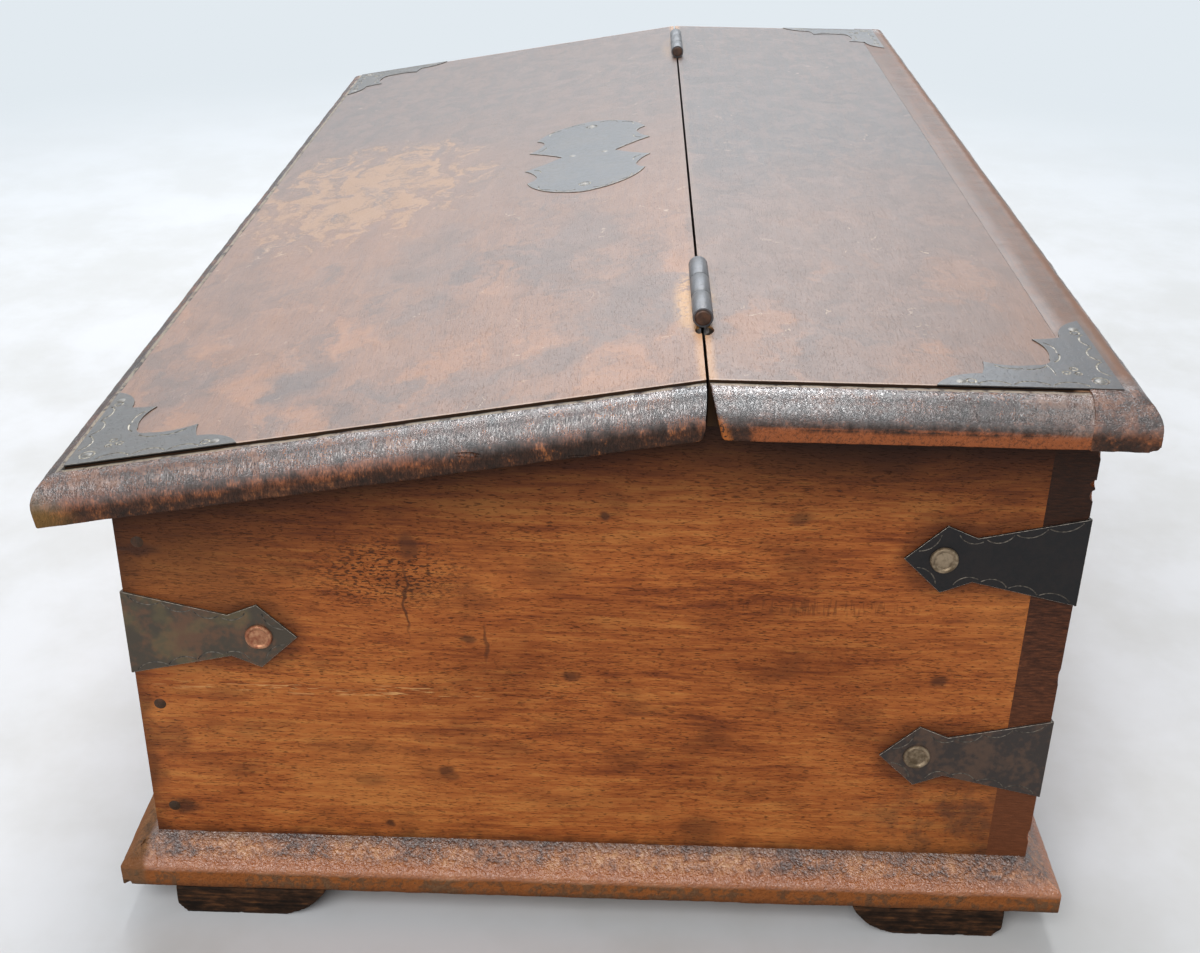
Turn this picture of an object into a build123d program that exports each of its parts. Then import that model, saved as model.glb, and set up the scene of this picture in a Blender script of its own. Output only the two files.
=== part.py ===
from build123d import *
from math import cos, radians, sin, sqrt, tan
import os

# Desk letter box: a level back top, a lid that slopes down to the front, a plinth and four feet.
# X runs along the length, -Y is the low front, +Z is up. The origin is under the box's centre.

# ---- Driving dimensions, in mm ----

# Carcass
carcass_length = 590.0
carcass_depth = 330.0
wall = 15.0
bottom_thickness = 14.0

# Plinth and feet
foot_height = 13.0
foot_length = 58.0          # along the box's depth
foot_width = 38.0           # along the box's length
foot_inset = 19.5           # from the plinth's front and back faces
foot_curve = 22.0           # radius of the foot's inner end
foot_chamfer = 4.0
plinth_height = 17.0
plinth_face = 9.6           # upright part, under the sloped top
plinth_projection = 12.0

# Top and lid
top_height = 224.0
top_thickness = 16.5
top_reach = 130.0           # joint line to the carcass's back face
lid_slope = 10.0            # degrees
joint_gap = 1.0
end_overhang = 13.5
back_overhang = 13.5
front_overhang = 21.5
lid_seat_gap = 0.2

# Mouldings round the top and the lid
moulding_width = 11.0
moulding_face = 5.5         # upright part, under the rounded top
moulding_drop = 0.8         # top surface down to the moulding
moulding_flat = 3.0         # flat before the rounding starts
moulding_undercut = 16.0    # degrees, fixed end mouldings at the joint
back_moulding_width = 22.0

# Hinges
hinge_inset = 71.0          # carcass's end to the hinge's middle
barrel_length = 55.0
barrel_radius = 3.6
pin_radius = 2.9
pin_clearance = 0.05
pin_proud = 0.7
axis_height = 3.2           # hinge axis above the top surface
knuckle_gap = 0.3
leaf_height = 13.5          # below the top surface
leaf_thickness = 0.65
leaf_neck_gap = 0.8         # top surface down to the leaf's shoulder
barrel_seat_gap = 0.5
barrel_seat_end = 1.5

# Sheet-iron plates and straps
sheet = 0.9
plate_leg = 59.5
centre_plate_along = 48.5   # down the slope, joint line to plate centre
strap_reach = 60.0          # corner to tip
strap_head_at = 46.5
strap_neck_at = 36.0
strap_root = 17.0           # half width at the corner
strap_neck = 8.5
strap_head = 13.0
front_strap_height = 120.0
back_strap_low = 76.0
back_strap_high = 159.0

# Outlines of the plates, as arcs: start, through, end
corner_plate_arcs = [       # half of it, from one tip; the corner is at (0, 0)
    ((0, plate_leg), (7.5, 52.5), (10.0, 43.2)),
    ((10.0, 43.2), (14.9, 41.7), (20.0, 41.0)),
    ((20.0, 41.0), (17.3, 33.0), (18.2, 24.0)),
]
corner_plate_inner = [(18.2, 24.0), (19.7, 19.7), (24.0, 18.2)]
corner_plate_brads = [(6.0, 6.0), (51.2, 3.3), (3.3, 51.2)]
centre_plate_arcs = [       # a quarter of it, from the tip to the waist
    ((65.0, 0), (57.0, 17.1), (38.4, 28.5)),
    ((38.4, 28.5), (33.2, 24.5), (27.3, 25.1)),
    ((27.3, 25.1), (22.1, 27.0), (16.3, 31.0)),
    ((16.3, 31.0), (6.5, 19.2), (0, 13.4)),
]
centre_plate_brads = [(53.3, 0), (-53.3, 0), (0, 8.1), (0, -8.1)]

# Fasteners
rivet_head = 4.9
rivet_dome = 1.5
rivet_shank = 2.0
rivet_length = 13.0
brad_head = 1.7
brad_dome = 0.4
brad_shank = 0.8
brad_length = 8.0
nail_head = 2.2
nail_dome = 0.5
nail_shank = 1.2
nail_length = 32.0
front_nail_middle = 89.0    # height of the nail between the top one and the bottom one
leaf_brad_outer = 16.5      # from the hinge's middle
leaf_brad_inner = 9.9
leaf_brad_drop = 8.1        # below the top surface

# Lock
lock_length = 60.0
lock_depth = 10.5           # let into the front board
lock_height = 34.0
lock_plate_margin = 8.0
lock_plate = 1.5
lock_top_gap = 0.3
bolt_length = 22.0
bolt_height = 3.0
bolt_thickness = 1.8
bolt_slack = 0.15
bolt_rest_gap = 2.5         # bolt's nose to the staple, unlocked
bolt_travel = 8.0
strike_length = 32.0
strike_width = 12.0
strike_plate = 1.5
staple_depth = 11.0
staple_width = 5.0
staple_thickness = 2.4
staple_bar = 1.2
eye_height = 4.2
staple_slack = 0.4
keyhole_radius = 3.0
keyhole_slot = 2.4
keyhole_drop = 9.0
keyhole_below = 20.0        # lock's top down to the keyhole's middle
escutcheon_half_width = 13.0
escutcheon_half_height = 18.0
escutcheon_bulge = (8.1, 9.0)   # a point on the outline between the top and the side
escutcheon_brad = 14.0      # keyhole's middle to a brad
lock_brad_height = 10.2     # plate's middle up or down to a brad

# Till and drawers
till_setback = 3.0          # joint line back to the till's front
shelf_thickness = 8.0
divider = 8.0
bay_height = 60.0
drawer_lift = 0.3
drawer_side_gap = 0.8
drawer_top_gap = 1.0
drawer_depth = 110.0
drawer_front = 10.0
drawer_side = 7.0
drawer_bottom = 5.0
knob_radius = 8.0
knob_neck = 4.0
knob_reach = 14.0
knob_tenon = 3.0
knob_neck_length = 4.9
knob_widest_at = 9.5        # drawer's front to the knob's widest ring

# ---- Places worked out from them ----

half_length = carcass_length / 2
half_depth = (carcass_depth + front_overhang + back_overhang) / 2
front_face = front_overhang - half_depth
back_face = front_face + carcass_depth
end_edge = half_length + end_overhang
panel_end = end_edge - moulding_width
panel_back = half_depth - back_moulding_width
joint_y = back_face - top_reach
plinth_out = half_length + plinth_projection
floor_height = foot_height + bottom_thickness
top_underside = top_height - top_thickness
axis_z = top_height + axis_height
inner_end = half_length - wall
inner_back = back_face - wall
inner_front = front_face + wall
mid_depth = Plane(origin=(0, (front_face + back_face) / 2, 0), z_dir=(0, 1, 0))

slope_sin = sin(radians(lid_slope))
slope_cos = cos(radians(lid_slope))
slope_tan = tan(radians(lid_slope))
rounding = top_thickness - moulding_face
curve_out = moulding_width - moulding_flat
curve_up = rounding - moulding_drop
front_reach = (moulding_flat * slope_cos - rounding * slope_sin
               + sqrt((curve_out * slope_cos) ** 2 + (curve_up * slope_sin) ** 2))
lid_panel = (joint_y + half_depth - front_reach) / slope_cos
lid_length = lid_panel + moulding_width
lid_plane = Plane(origin=(0, joint_y, top_height), x_dir=(1, 0, 0), z_dir=(0, -slope_sin, slope_cos))
lid_back = joint_y - joint_gap / 2
top_front = joint_y + joint_gap / 2


def on_lid(along, below):
    """A point (y, z) down the lid's slope from the joint line and below its top surface."""
    y = joint_y - along * slope_cos + below * slope_sin
    return (y, top_height - along * slope_sin - below * slope_cos)


def under_lid(y, gap=lid_seat_gap):
    """The height of the lid's underside, less a gap, at a depth y."""
    return top_height - (joint_y - y) * slope_tan - top_thickness / slope_cos - gap


def lid_side(x, along, below=0.0):
    """A plane across the lid's slope: its x runs out along +X and its y up from the lid."""
    y, z = on_lid(along, below)
    return Plane(origin=(x, y, z), x_dir=(1, 0, 0), z_dir=(0, -slope_cos, -slope_sin))


# ---- Fasteners: each seat is a plane under the head, facing out ----

def fastener(seat, head, dome, shank, length):
    """One domed head on a round shank, driven into the seat."""
    section = Plane(origin=seat.origin, x_dir=seat.x_dir, z_dir=-seat.y_dir)
    with BuildPart() as piece:
        with BuildSketch(section):
            with BuildLine():
                Polyline((0, dome), (0, -length), (shank, -length), (shank, 0), (head, 0))
                TangentArc((0, dome), (head, 0), tangent=(1, 0))
            make_face()
        revolve(axis=Axis(seat.origin, seat.z_dir))
    return piece.part


def shank_holes(seats, shank, length):
    """The holes that a set of shanks fills, in whatever the seats lie on."""
    with BuildPart() as holes:
        for seat in seats:
            with BuildSketch(seat):
                Circle(shank)
            extrude(amount=-length)
    return holes.part


# ---- Corner straps, lying on both faces of an upright corner ----

def strap_arm(corner):
    """One tapered arm with an arrow head; the plane's x runs away from the corner."""
    with BuildPart() as arm:
        with BuildSketch(corner):
            with BuildLine():
                Polyline(
                    (-sheet, strap_root), (strap_neck_at, strap_neck), (strap_head_at, strap_head),
                    (strap_reach, 0), (strap_head_at, -strap_head), (strap_neck_at, -strap_neck),
                    (-sheet, -strap_root), close=True)
            make_face()
        extrude(amount=sheet)
    return arm.part


strap_corners = {
    "front": (front_face, 1, front_strap_height),
    "back_low": (back_face, -1, back_strap_low),
    "back_high": (back_face, -1, back_strap_high),
}
strap_planes = {}
for name, (face_y, inward, height) in strap_corners.items():
    end_arm = Plane(origin=(half_length, face_y, height), x_dir=(0, inward, 0), z_dir=(1, 0, 0))
    side_arm = Plane(origin=(half_length, face_y, height), x_dir=(-1, 0, 0), z_dir=(0, -inward, 0))
    strap_planes[name] = (end_arm, side_arm)

rivet_seats = []
for arm_planes in strap_planes.values():
    for arm_plane in arm_planes:
        seat = arm_plane.shift_origin(arm_plane.from_local_coords((strap_head_at, 0, 0)))
        rivet_seats.append(seat.offset(sheet))
rivet_holes = shank_holes(rivet_seats, rivet_shank, rivet_length)

# Nails: end boards into the front board, back board into the end boards
nail_seats = []
front_nail_heights = (floor_height + wall, front_nail_middle, under_lid(front_face) - wall)
back_nail_heights = (floor_height + wall, (back_strap_low + back_strap_high) / 2, top_underside - wall)
for height in front_nail_heights:
    nail_seats.append(Plane(origin=(half_length, front_face + wall / 2, height), z_dir=(1, 0, 0)))
for height in back_nail_heights:
    nail_seats.append(Plane(origin=(half_length - wall / 2, back_face, height), z_dir=(0, 1, 0)))
nail_holes = shank_holes(nail_seats, nail_shank, nail_length)

# ---- Hinge places ----

hinge_middle = half_length - hinge_inset
hinge_axis_plane = Plane(origin=(0, joint_y, axis_z), x_dir=(0, 1, 0), z_dir=(1, 0, 0))
knuckle_length = (barrel_length - 2 * knuckle_gap) / 3
knuckle_step = knuckle_length + knuckle_gap
leaf_brad_z = top_height - leaf_brad_drop
lid_leaf_seats = [
    Plane(origin=(hinge_middle + dx, lid_back, leaf_brad_z), z_dir=(0, 1, 0))
    for dx in (-leaf_brad_outer, leaf_brad_inner)]
top_leaf_seats = [
    Plane(origin=(hinge_middle + dx, top_front, leaf_brad_z), z_dir=(0, -1, 0))
    for dx in (-leaf_brad_inner, leaf_brad_outer)]

with BuildPart() as barrel_seat:
    with BuildSketch(hinge_axis_plane.offset(hinge_middle)):
        Circle(barrel_radius + barrel_seat_gap)
    extrude(amount=barrel_length / 2 + barrel_seat_end, both=True)

with BuildPart() as lid_leaf_recess:
    with BuildSketch(Plane.XZ.offset(-lid_back)):
        with Locations((hinge_middle, top_height - leaf_height / 2)):
            Rectangle(barrel_length, leaf_height)
    extrude(amount=leaf_thickness)

with BuildPart() as top_leaf_recess:
    with BuildSketch(Plane.XZ.offset(-top_front)):
        with Locations((hinge_middle, top_height - leaf_height / 2)):
            Rectangle(barrel_length, leaf_height)
    extrude(amount=-leaf_thickness)

# ---- Plate outlines, drawn flat with their corner at the origin ----

with BuildSketch() as corner_outline:
    with BuildLine():
        for start, through, end in corner_plate_arcs:
            ThreePointArc(start, through, end)
        Line((0, plate_leg), (0, 0))
        mirror(about=Plane(origin=(0, 0, 0), x_dir=(0, 0, 1), z_dir=(1, -1, 0)))
        ThreePointArc(*corner_plate_inner)
    make_face()

with BuildSketch() as centre_outline:
    with BuildLine():
        for start, through, end in centre_plate_arcs:
            ThreePointArc(start, through, end)
        mirror(about=Plane.YZ)
        mirror(about=Plane.XZ)
    make_face()

lid_corner = lid_plane.from_local_coords((panel_end, -lid_panel, 0))
lid_plate_plane = Plane(origin=lid_corner, x_dir=lid_plane.y_dir, z_dir=lid_plane.z_dir)
top_plate_plane = Plane(origin=(panel_end, half_depth - moulding_width, top_height),
                        x_dir=(-1, 0, 0), z_dir=(0, 0, 1))
centre_plate_plane = lid_plane.shift_origin(lid_plane.from_local_coords((0, -centre_plate_along, 0)))


def seats_on(plane, points):
    """Brad seats on a plate that lies on a plane, at points of that plane."""
    return [Plane(origin=plane.from_local_coords((x, y, sheet)), x_dir=plane.x_dir, z_dir=plane.z_dir)
            for x, y in points]


lid_plate_seats = seats_on(lid_plate_plane, corner_plate_brads)
top_plate_seats = seats_on(top_plate_plane, corner_plate_brads)
centre_plate_seats = seats_on(centre_plate_plane, centre_plate_brads)
lid_plate_holes = shank_holes(lid_plate_seats, brad_shank, brad_length)
top_plate_holes = shank_holes(top_plate_seats, brad_shank, brad_length)
centre_plate_holes = shank_holes(centre_plate_seats, brad_shank, brad_length)
lid_leaf_holes = shank_holes(lid_leaf_seats, brad_shank, brad_length)
top_leaf_holes = shank_holes(top_leaf_seats, brad_shank, brad_length)


def both_ends(piece):
    """The same shape at the other end of the box."""
    return piece.mirror(Plane.YZ)


# ---- Lock places ----

lock_back = inner_front - lock_depth
lock_top = under_lid(lock_back) - lock_top_gap
lock_bottom = lock_top - lock_height
lock_mid = inner_front - lock_depth / 2
staple_lean = staple_depth * slope_sin
staple_swing = staple_depth * (axis_z - lock_top) / (joint_y - lock_mid)
slot_ahead = staple_width / 2 + staple_swing - staple_lean + staple_slack
slot_behind = staple_width / 2 + staple_lean + staple_slack
strike_y = lock_mid + (slot_ahead - slot_behind) / 2
strike_plane = Plane(
    origin=(0, strike_y, under_lid(strike_y, gap=0)), x_dir=(1, 0, 0), z_dir=(0, slope_sin, -slope_cos))
eye_drop = staple_depth - staple_bar - eye_height / 2
eye_centre = strike_plane.from_local_coords((0, 0, eye_drop))
bolt_nose = -staple_thickness / 2 - bolt_rest_gap
bolt_section = Plane(origin=(bolt_nose, eye_centre.Y, eye_centre.Z), x_dir=(0, 1, 0), z_dir=(1, 0, 0))
keyhole_z = lock_top - keyhole_below
keyhole_plane = Plane(origin=(0, front_face, keyhole_z), x_dir=(1, 0, 0), z_dir=(0, -1, 0))
escutcheon_seats = seats_on(keyhole_plane, [(0, escutcheon_brad), (0, -escutcheon_brad)])
escutcheon_holes = shank_holes(escutcheon_seats, brad_shank, (wall - lock_depth) + sheet)
lock_plate_plane = Plane(
    origin=(0, inner_front, (lock_top + lock_bottom) / 2), x_dir=(-1, 0, 0), z_dir=(0, 1, 0))
lock_brad_x = (lock_length + lock_plate_margin) / 2
lock_seats = [
    lock_plate_plane.offset(lock_plate).shift_origin(
        lock_plate_plane.offset(lock_plate).from_local_coords((x, z, 0)))
    for x in (-lock_brad_x, lock_brad_x) for z in (-lock_brad_height, lock_brad_height)]
lock_holes = shank_holes(lock_seats, brad_shank, brad_length)

with BuildPart() as keyhole:
    with BuildSketch(keyhole_plane.offset(sheet)):
        Circle(keyhole_radius)
        with Locations((0, -keyhole_drop / 2)):
            Rectangle(keyhole_slot, keyhole_drop)
    extrude(amount=-(sheet + wall - lock_depth / 2))

# ---- Carcass ----

with BuildPart() as end_board_right:
    with BuildSketch(Plane.YZ.offset(inner_end)):
        with BuildLine():
            Polyline(
                (front_face, floor_height), (inner_back, floor_height), (inner_back, top_underside),
                (joint_y, top_underside), (joint_y, under_lid(joint_y)), (front_face, under_lid(front_face)),
                close=True)
        make_face()
    extrude(amount=wall)
    add(rivet_holes, mode=Mode.SUBTRACT)
    add(nail_holes, mode=Mode.SUBTRACT)
end_board_right.part.label = "end_board_right"

with BuildPart() as end_board_left:
    mirror(end_board_right.part, about=Plane.YZ)
end_board_left.part.label = "end_board_left"

with BuildPart() as front_board:
    with BuildSketch(Plane.YZ):
        with BuildLine():
            Polyline(
                (front_face, floor_height), (inner_front, floor_height),
                (inner_front, under_lid(inner_front)), (front_face, under_lid(front_face)), close=True)
        make_face()
    extrude(amount=inner_end, both=True)
    with BuildSketch(Plane.XZ.offset(-inner_front)):
        with Locations((0, lock_bottom)):
            Rectangle(lock_length, lock_height * 2, align=(Align.CENTER, Align.MIN))
    extrude(amount=lock_depth, mode=Mode.SUBTRACT)
    add([rivet_holes, both_ends(rivet_holes)], mode=Mode.SUBTRACT)
    add([nail_holes, both_ends(nail_holes)], mode=Mode.SUBTRACT)
    add([keyhole.part, escutcheon_holes, lock_holes], mode=Mode.SUBTRACT)
front_board.part.label = "front_board"

with BuildPart() as back_board:
    with BuildSketch(Plane.XZ.offset(-inner_back)):
        with Locations((0, floor_height)):
            Rectangle(carcass_length, top_underside - floor_height, align=(Align.CENTER, Align.MIN))
    extrude(amount=-wall)
    add([rivet_holes, both_ends(rivet_holes)], mode=Mode.SUBTRACT)
    add([nail_holes, both_ends(nail_holes)], mode=Mode.SUBTRACT)
back_board.part.label = "back_board"

with BuildPart() as bottom_board:
    with BuildSketch(Plane.XY.offset(foot_height)):
        with Locations((0, (front_face + back_face) / 2)):
            Rectangle(carcass_length, carcass_depth)
    extrude(amount=bottom_thickness)
bottom_board.part.label = "bottom_board"

# ---- Plinth: four strips with a sloped top, mitred at the corners ----

with BuildSketch() as plinth_outline:
    with BuildLine():
        Polyline(
            (0, 0), (plinth_projection, 0), (plinth_projection, plinth_face), (0, plinth_height), close=True)
    make_face()


def mitre(x, y, side_x, side_y):
    """An upright plane along a corner's mitre; it faces the strip that runs along the depth."""
    return Plane(origin=(x, y, 0), x_dir=(0, 0, 1), z_dir=(side_x, -side_y, 0))


mitre_front_right = mitre(half_length, front_face, 1, -1)
mitre_front_left = mitre(-half_length, front_face, -1, -1)
mitre_back_right = mitre(half_length, back_face, 1, 1)

with BuildPart() as plinth_right:
    with BuildSketch(Plane(origin=(half_length, 0, foot_height), x_dir=(1, 0, 0), z_dir=(0, -1, 0))):
        add(plinth_outline.sketch)
    extrude(amount=carcass_depth, both=True)
    split(bisect_by=mitre_front_right, keep=Keep.TOP)
    split(bisect_by=mitre_back_right, keep=Keep.TOP)
plinth_right.part.label = "plinth_right"

with BuildPart() as plinth_left:
    mirror(plinth_right.part, about=Plane.YZ)
plinth_left.part.label = "plinth_left"

with BuildPart() as plinth_front:
    with BuildSketch(Plane(origin=(0, front_face, foot_height), x_dir=(0, -1, 0), z_dir=(-1, 0, 0))):
        add(plinth_outline.sketch)
    extrude(amount=carcass_length, both=True)
    split(bisect_by=mitre_front_right, keep=Keep.BOTTOM)
    split(bisect_by=mitre_front_left, keep=Keep.BOTTOM)
plinth_front.part.label = "plinth_front"

with BuildPart() as plinth_back:
    mirror(plinth_front.part, about=mid_depth)
plinth_back.part.label = "plinth_back"

# ---- Feet: low brackets with a rounded inner end ----

foot_flat = foot_length - sqrt(foot_curve ** 2 - (foot_curve - foot_height) ** 2)
foot_swing = (foot_length - foot_flat) / 2
foot_mid = (foot_flat + foot_swing, foot_curve - sqrt(foot_curve ** 2 - foot_swing ** 2))
foot_plane = Plane(
    origin=(plinth_out, front_face - plinth_projection + foot_inset, 0), x_dir=(0, 1, 0), z_dir=(1, 0, 0))

with BuildPart() as foot_front_right:
    with BuildSketch(foot_plane):
        with BuildLine():
            Polyline(
                (foot_length, foot_height), (0, foot_height), (0, foot_chamfer), (foot_chamfer, 0),
                (foot_flat, 0))
            ThreePointArc((foot_flat, 0), foot_mid, (foot_length, foot_height))
        make_face()
    extrude(amount=-foot_width)
foot_front_right.part.label = "foot_front_right"

with BuildPart() as foot_front_left:
    mirror(foot_front_right.part, about=Plane.YZ)
foot_front_left.part.label = "foot_front_left"

with BuildPart() as foot_back_right:
    mirror(foot_front_right.part, about=mid_depth)
foot_back_right.part.label = "foot_back_right"

with BuildPart() as foot_back_left:
    mirror(foot_back_right.part, about=Plane.YZ)
foot_back_left.part.label = "foot_back_left"

# ---- Fixed top ----

with BuildPart() as fixed_top_board:
    with BuildSketch(Plane.XY.offset(top_underside)):
        with Locations((0, (top_front + panel_back) / 2)):
            Rectangle(2 * panel_end, panel_back - top_front)
    extrude(amount=top_thickness)
    add([barrel_seat.part, both_ends(barrel_seat.part)], mode=Mode.SUBTRACT)
    add([top_leaf_recess.part, both_ends(top_leaf_recess.part)], mode=Mode.SUBTRACT)
    add([top_leaf_holes, both_ends(top_leaf_holes)], mode=Mode.SUBTRACT)
    add([top_plate_holes, both_ends(top_plate_holes)], mode=Mode.SUBTRACT)
fixed_top_board.part.label = "fixed_top_board"

with BuildSketch() as moulding_outline:
    with BuildLine():
        Polyline(
            (moulding_width, -rounding), (moulding_width, -top_thickness), (0, -top_thickness),
            (0, -moulding_drop), (moulding_flat, -moulding_drop))
        EllipticalCenterArc(
            center=(moulding_flat, -rounding), x_radius=curve_out, y_radius=curve_up,
            start_angle=0, arc_size=90)
    make_face()

undercut = Plane(
    origin=(0, top_front, top_height), x_dir=(1, 0, 0),
    z_dir=(0, cos(radians(moulding_undercut)), sin(radians(moulding_undercut))))
joint_plane = Plane(origin=(0, lid_back, top_height), x_dir=(1, 0, 0), z_dir=(0, -1, 0))

with BuildPart() as fixed_top_moulding_right:
    with BuildSketch(Plane(origin=(panel_end, panel_back, top_height), x_dir=(1, 0, 0), z_dir=(0, -1, 0))):
        add(moulding_outline.sketch)
    extrude(amount=panel_back - top_front)
    split(bisect_by=undercut, keep=Keep.TOP)
fixed_top_moulding_right.part.label = "fixed_top_moulding_right"

with BuildPart() as fixed_top_moulding_left:
    mirror(fixed_top_moulding_right.part, about=Plane.YZ)
fixed_top_moulding_left.part.label = "fixed_top_moulding_left"

with BuildPart() as fixed_top_moulding_back:
    with BuildSketch(Plane(origin=(0, half_depth - moulding_width, top_height), x_dir=(0, 1, 0),
                           z_dir=(1, 0, 0))):
        with BuildLine():
            Polyline(
                (moulding_width, -rounding), (moulding_width, -top_thickness),
                (moulding_width - back_moulding_width, -top_thickness),
                (moulding_width - back_moulding_width, 0), (moulding_flat, 0))
            EllipticalCenterArc(
                center=(moulding_flat, -rounding), x_radius=curve_out, y_radius=rounding,
                start_angle=0, arc_size=90)
        make_face()
    extrude(amount=end_edge, both=True)
    with BuildSketch(Plane(origin=(0, panel_back, top_height), x_dir=(1, 0, 0), z_dir=(0, -1, 0))):
        with Locations((0, -top_thickness)):
            Rectangle(2 * panel_end, top_thickness, align=(Align.CENTER, Align.MIN))
        with Locations((panel_end, 0)):
            add(moulding_outline.sketch)
        mirror(about=Plane.YZ)
    extrude(amount=-back_moulding_width, mode=Mode.INTERSECT)
    add([top_plate_holes, both_ends(top_plate_holes)], mode=Mode.SUBTRACT)
fixed_top_moulding_back.part.label = "fixed_top_moulding_back"

# ---- Lid ----

with BuildPart() as lid_board:
    with BuildSketch(Plane.YZ):
        with BuildLine():
            Polyline(
                (lid_back, top_height - slope_tan * joint_gap / 2), on_lid(lid_panel, 0),
                on_lid(lid_panel, top_thickness), (lid_back, under_lid(lid_back, gap=0)), close=True)
        make_face()
    extrude(amount=panel_end, both=True)
    add([barrel_seat.part, both_ends(barrel_seat.part)], mode=Mode.SUBTRACT)
    add([lid_leaf_recess.part, both_ends(lid_leaf_recess.part)], mode=Mode.SUBTRACT)
    add([lid_leaf_holes, both_ends(lid_leaf_holes)], mode=Mode.SUBTRACT)
    add([lid_plate_holes, both_ends(lid_plate_holes), centre_plate_holes], mode=Mode.SUBTRACT)
    with BuildSketch(strike_plane):
        Rectangle(strike_length, strike_width)
    extrude(amount=-strike_plate, mode=Mode.SUBTRACT)
lid_board.part.label = "lid_board"


def lid_mitre(side):
    """The plane along the mitre of the lid's front corner, at the right (1) or the left (-1)."""
    corner = lid_plane.from_local_coords((side * panel_end, -lid_panel, 0))
    across = lid_plane.x_dir * side + lid_plane.y_dir
    return Plane(origin=corner, x_dir=lid_plane.z_dir, z_dir=across)


with BuildPart() as lid_moulding_right:
    with BuildSketch(lid_side(panel_end, 0)):
        add(moulding_outline.sketch)
    extrude(amount=lid_length, both=True)
    split(bisect_by=lid_mitre(1), keep=Keep.TOP)
    split(bisect_by=joint_plane, keep=Keep.TOP)
lid_moulding_right.part.label = "lid_moulding_right"

with BuildPart() as lid_moulding_left:
    mirror(lid_moulding_right.part, about=Plane.YZ)
lid_moulding_left.part.label = "lid_moulding_left"

with BuildPart() as lid_moulding_front:
    with BuildSketch(Plane(origin=lid_plane.from_local_coords((0, -lid_panel, 0)),
                           x_dir=-lid_plane.y_dir, z_dir=(-1, 0, 0))):
        add(moulding_outline.sketch)
    extrude(amount=end_edge, both=True)
    split(bisect_by=lid_mitre(1), keep=Keep.BOTTOM)
    split(bisect_by=lid_mitre(-1), keep=Keep.BOTTOM)
lid_moulding_front.part.label = "lid_moulding_front"

# ---- Hinges: rolled sheet knuckles on a pin, leaves down in the joint ----


def hinge_leaf(edge_y, facing, knuckles):
    """A leaf let into a board's edge, facing front (-1) or back (1), with some of the three knuckles."""
    edge = Plane(origin=(hinge_middle, edge_y, top_height), x_dir=(-facing, 0, 0), z_dir=(0, facing, 0))
    with BuildPart() as leaf:
        with BuildSketch(edge):
            with Locations((0, -leaf_neck_gap)):
                Rectangle(barrel_length, leaf_height - leaf_neck_gap, align=(Align.CENTER, Align.MAX))
            for knuckle in knuckles:
                with Locations((-facing * knuckle * knuckle_step, -leaf_neck_gap)):
                    Rectangle(knuckle_length, leaf_neck_gap + axis_height - pin_radius,
                              align=(Align.CENTER, Align.MIN))
        extrude(amount=-leaf_thickness)
        for knuckle in knuckles:
            with BuildSketch(hinge_axis_plane.offset(hinge_middle + knuckle * knuckle_step)):
                Circle(barrel_radius)
            extrude(amount=knuckle_length / 2, both=True)
        with BuildSketch(hinge_axis_plane.offset(hinge_middle)):
            Circle(pin_radius + pin_clearance)
        extrude(amount=barrel_length, both=True, mode=Mode.SUBTRACT)
    return leaf.part


with BuildPart() as hinge_leaf_lid_right:
    add(hinge_leaf(lid_back, 1, [0]))
    add(lid_leaf_holes, mode=Mode.SUBTRACT)
hinge_leaf_lid_right.part.label = "hinge_leaf_lid_right"

with BuildPart() as hinge_leaf_lid_left:
    mirror(hinge_leaf_lid_right.part, about=Plane.YZ)
hinge_leaf_lid_left.part.label = "hinge_leaf_lid_left"

with BuildPart() as hinge_leaf_top_right:
    add(hinge_leaf(top_front, -1, [-1, 1]))
    add(top_leaf_holes, mode=Mode.SUBTRACT)
hinge_leaf_top_right.part.label = "hinge_leaf_top_right"

with BuildPart() as hinge_leaf_top_left:
    mirror(hinge_leaf_top_right.part, about=Plane.YZ)
hinge_leaf_top_left.part.label = "hinge_leaf_top_left"

with BuildPart() as hinge_pins:
    with BuildSketch(hinge_axis_plane.offset(hinge_middle)):
        Circle(pin_radius)
    extrude(amount=barrel_length / 2 + pin_proud, both=True)
    fillet(hinge_pins.edges().filter_by(GeomType.CIRCLE), radius=pin_proud)
    mirror(about=Plane.YZ)
hinge_pins.part.label = "hinge_pins"

# ---- Sheet-iron plates ----

with BuildPart() as lid_corner_plate_right:
    with BuildSketch(lid_plate_plane):
        add(corner_outline.sketch)
    extrude(amount=sheet)
    add(lid_plate_holes, mode=Mode.SUBTRACT)
lid_corner_plate_right.part.label = "lid_corner_plate_right"

with BuildPart() as lid_corner_plate_left:
    mirror(lid_corner_plate_right.part, about=Plane.YZ)
lid_corner_plate_left.part.label = "lid_corner_plate_left"

with BuildPart() as top_corner_plate_right:
    with BuildSketch(top_plate_plane):
        add(corner_outline.sketch)
    extrude(amount=sheet)
    add(top_plate_holes, mode=Mode.SUBTRACT)
top_corner_plate_right.part.label = "top_corner_plate_right"

with BuildPart() as top_corner_plate_left:
    mirror(top_corner_plate_right.part, about=Plane.YZ)
top_corner_plate_left.part.label = "top_corner_plate_left"

with BuildPart() as lid_centre_plate:
    with BuildSketch(centre_plate_plane):
        add(centre_outline.sketch)
    extrude(amount=sheet)
    add(centre_plate_holes, mode=Mode.SUBTRACT)
lid_centre_plate.part.label = "lid_centre_plate"

# ---- Straps ----

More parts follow.
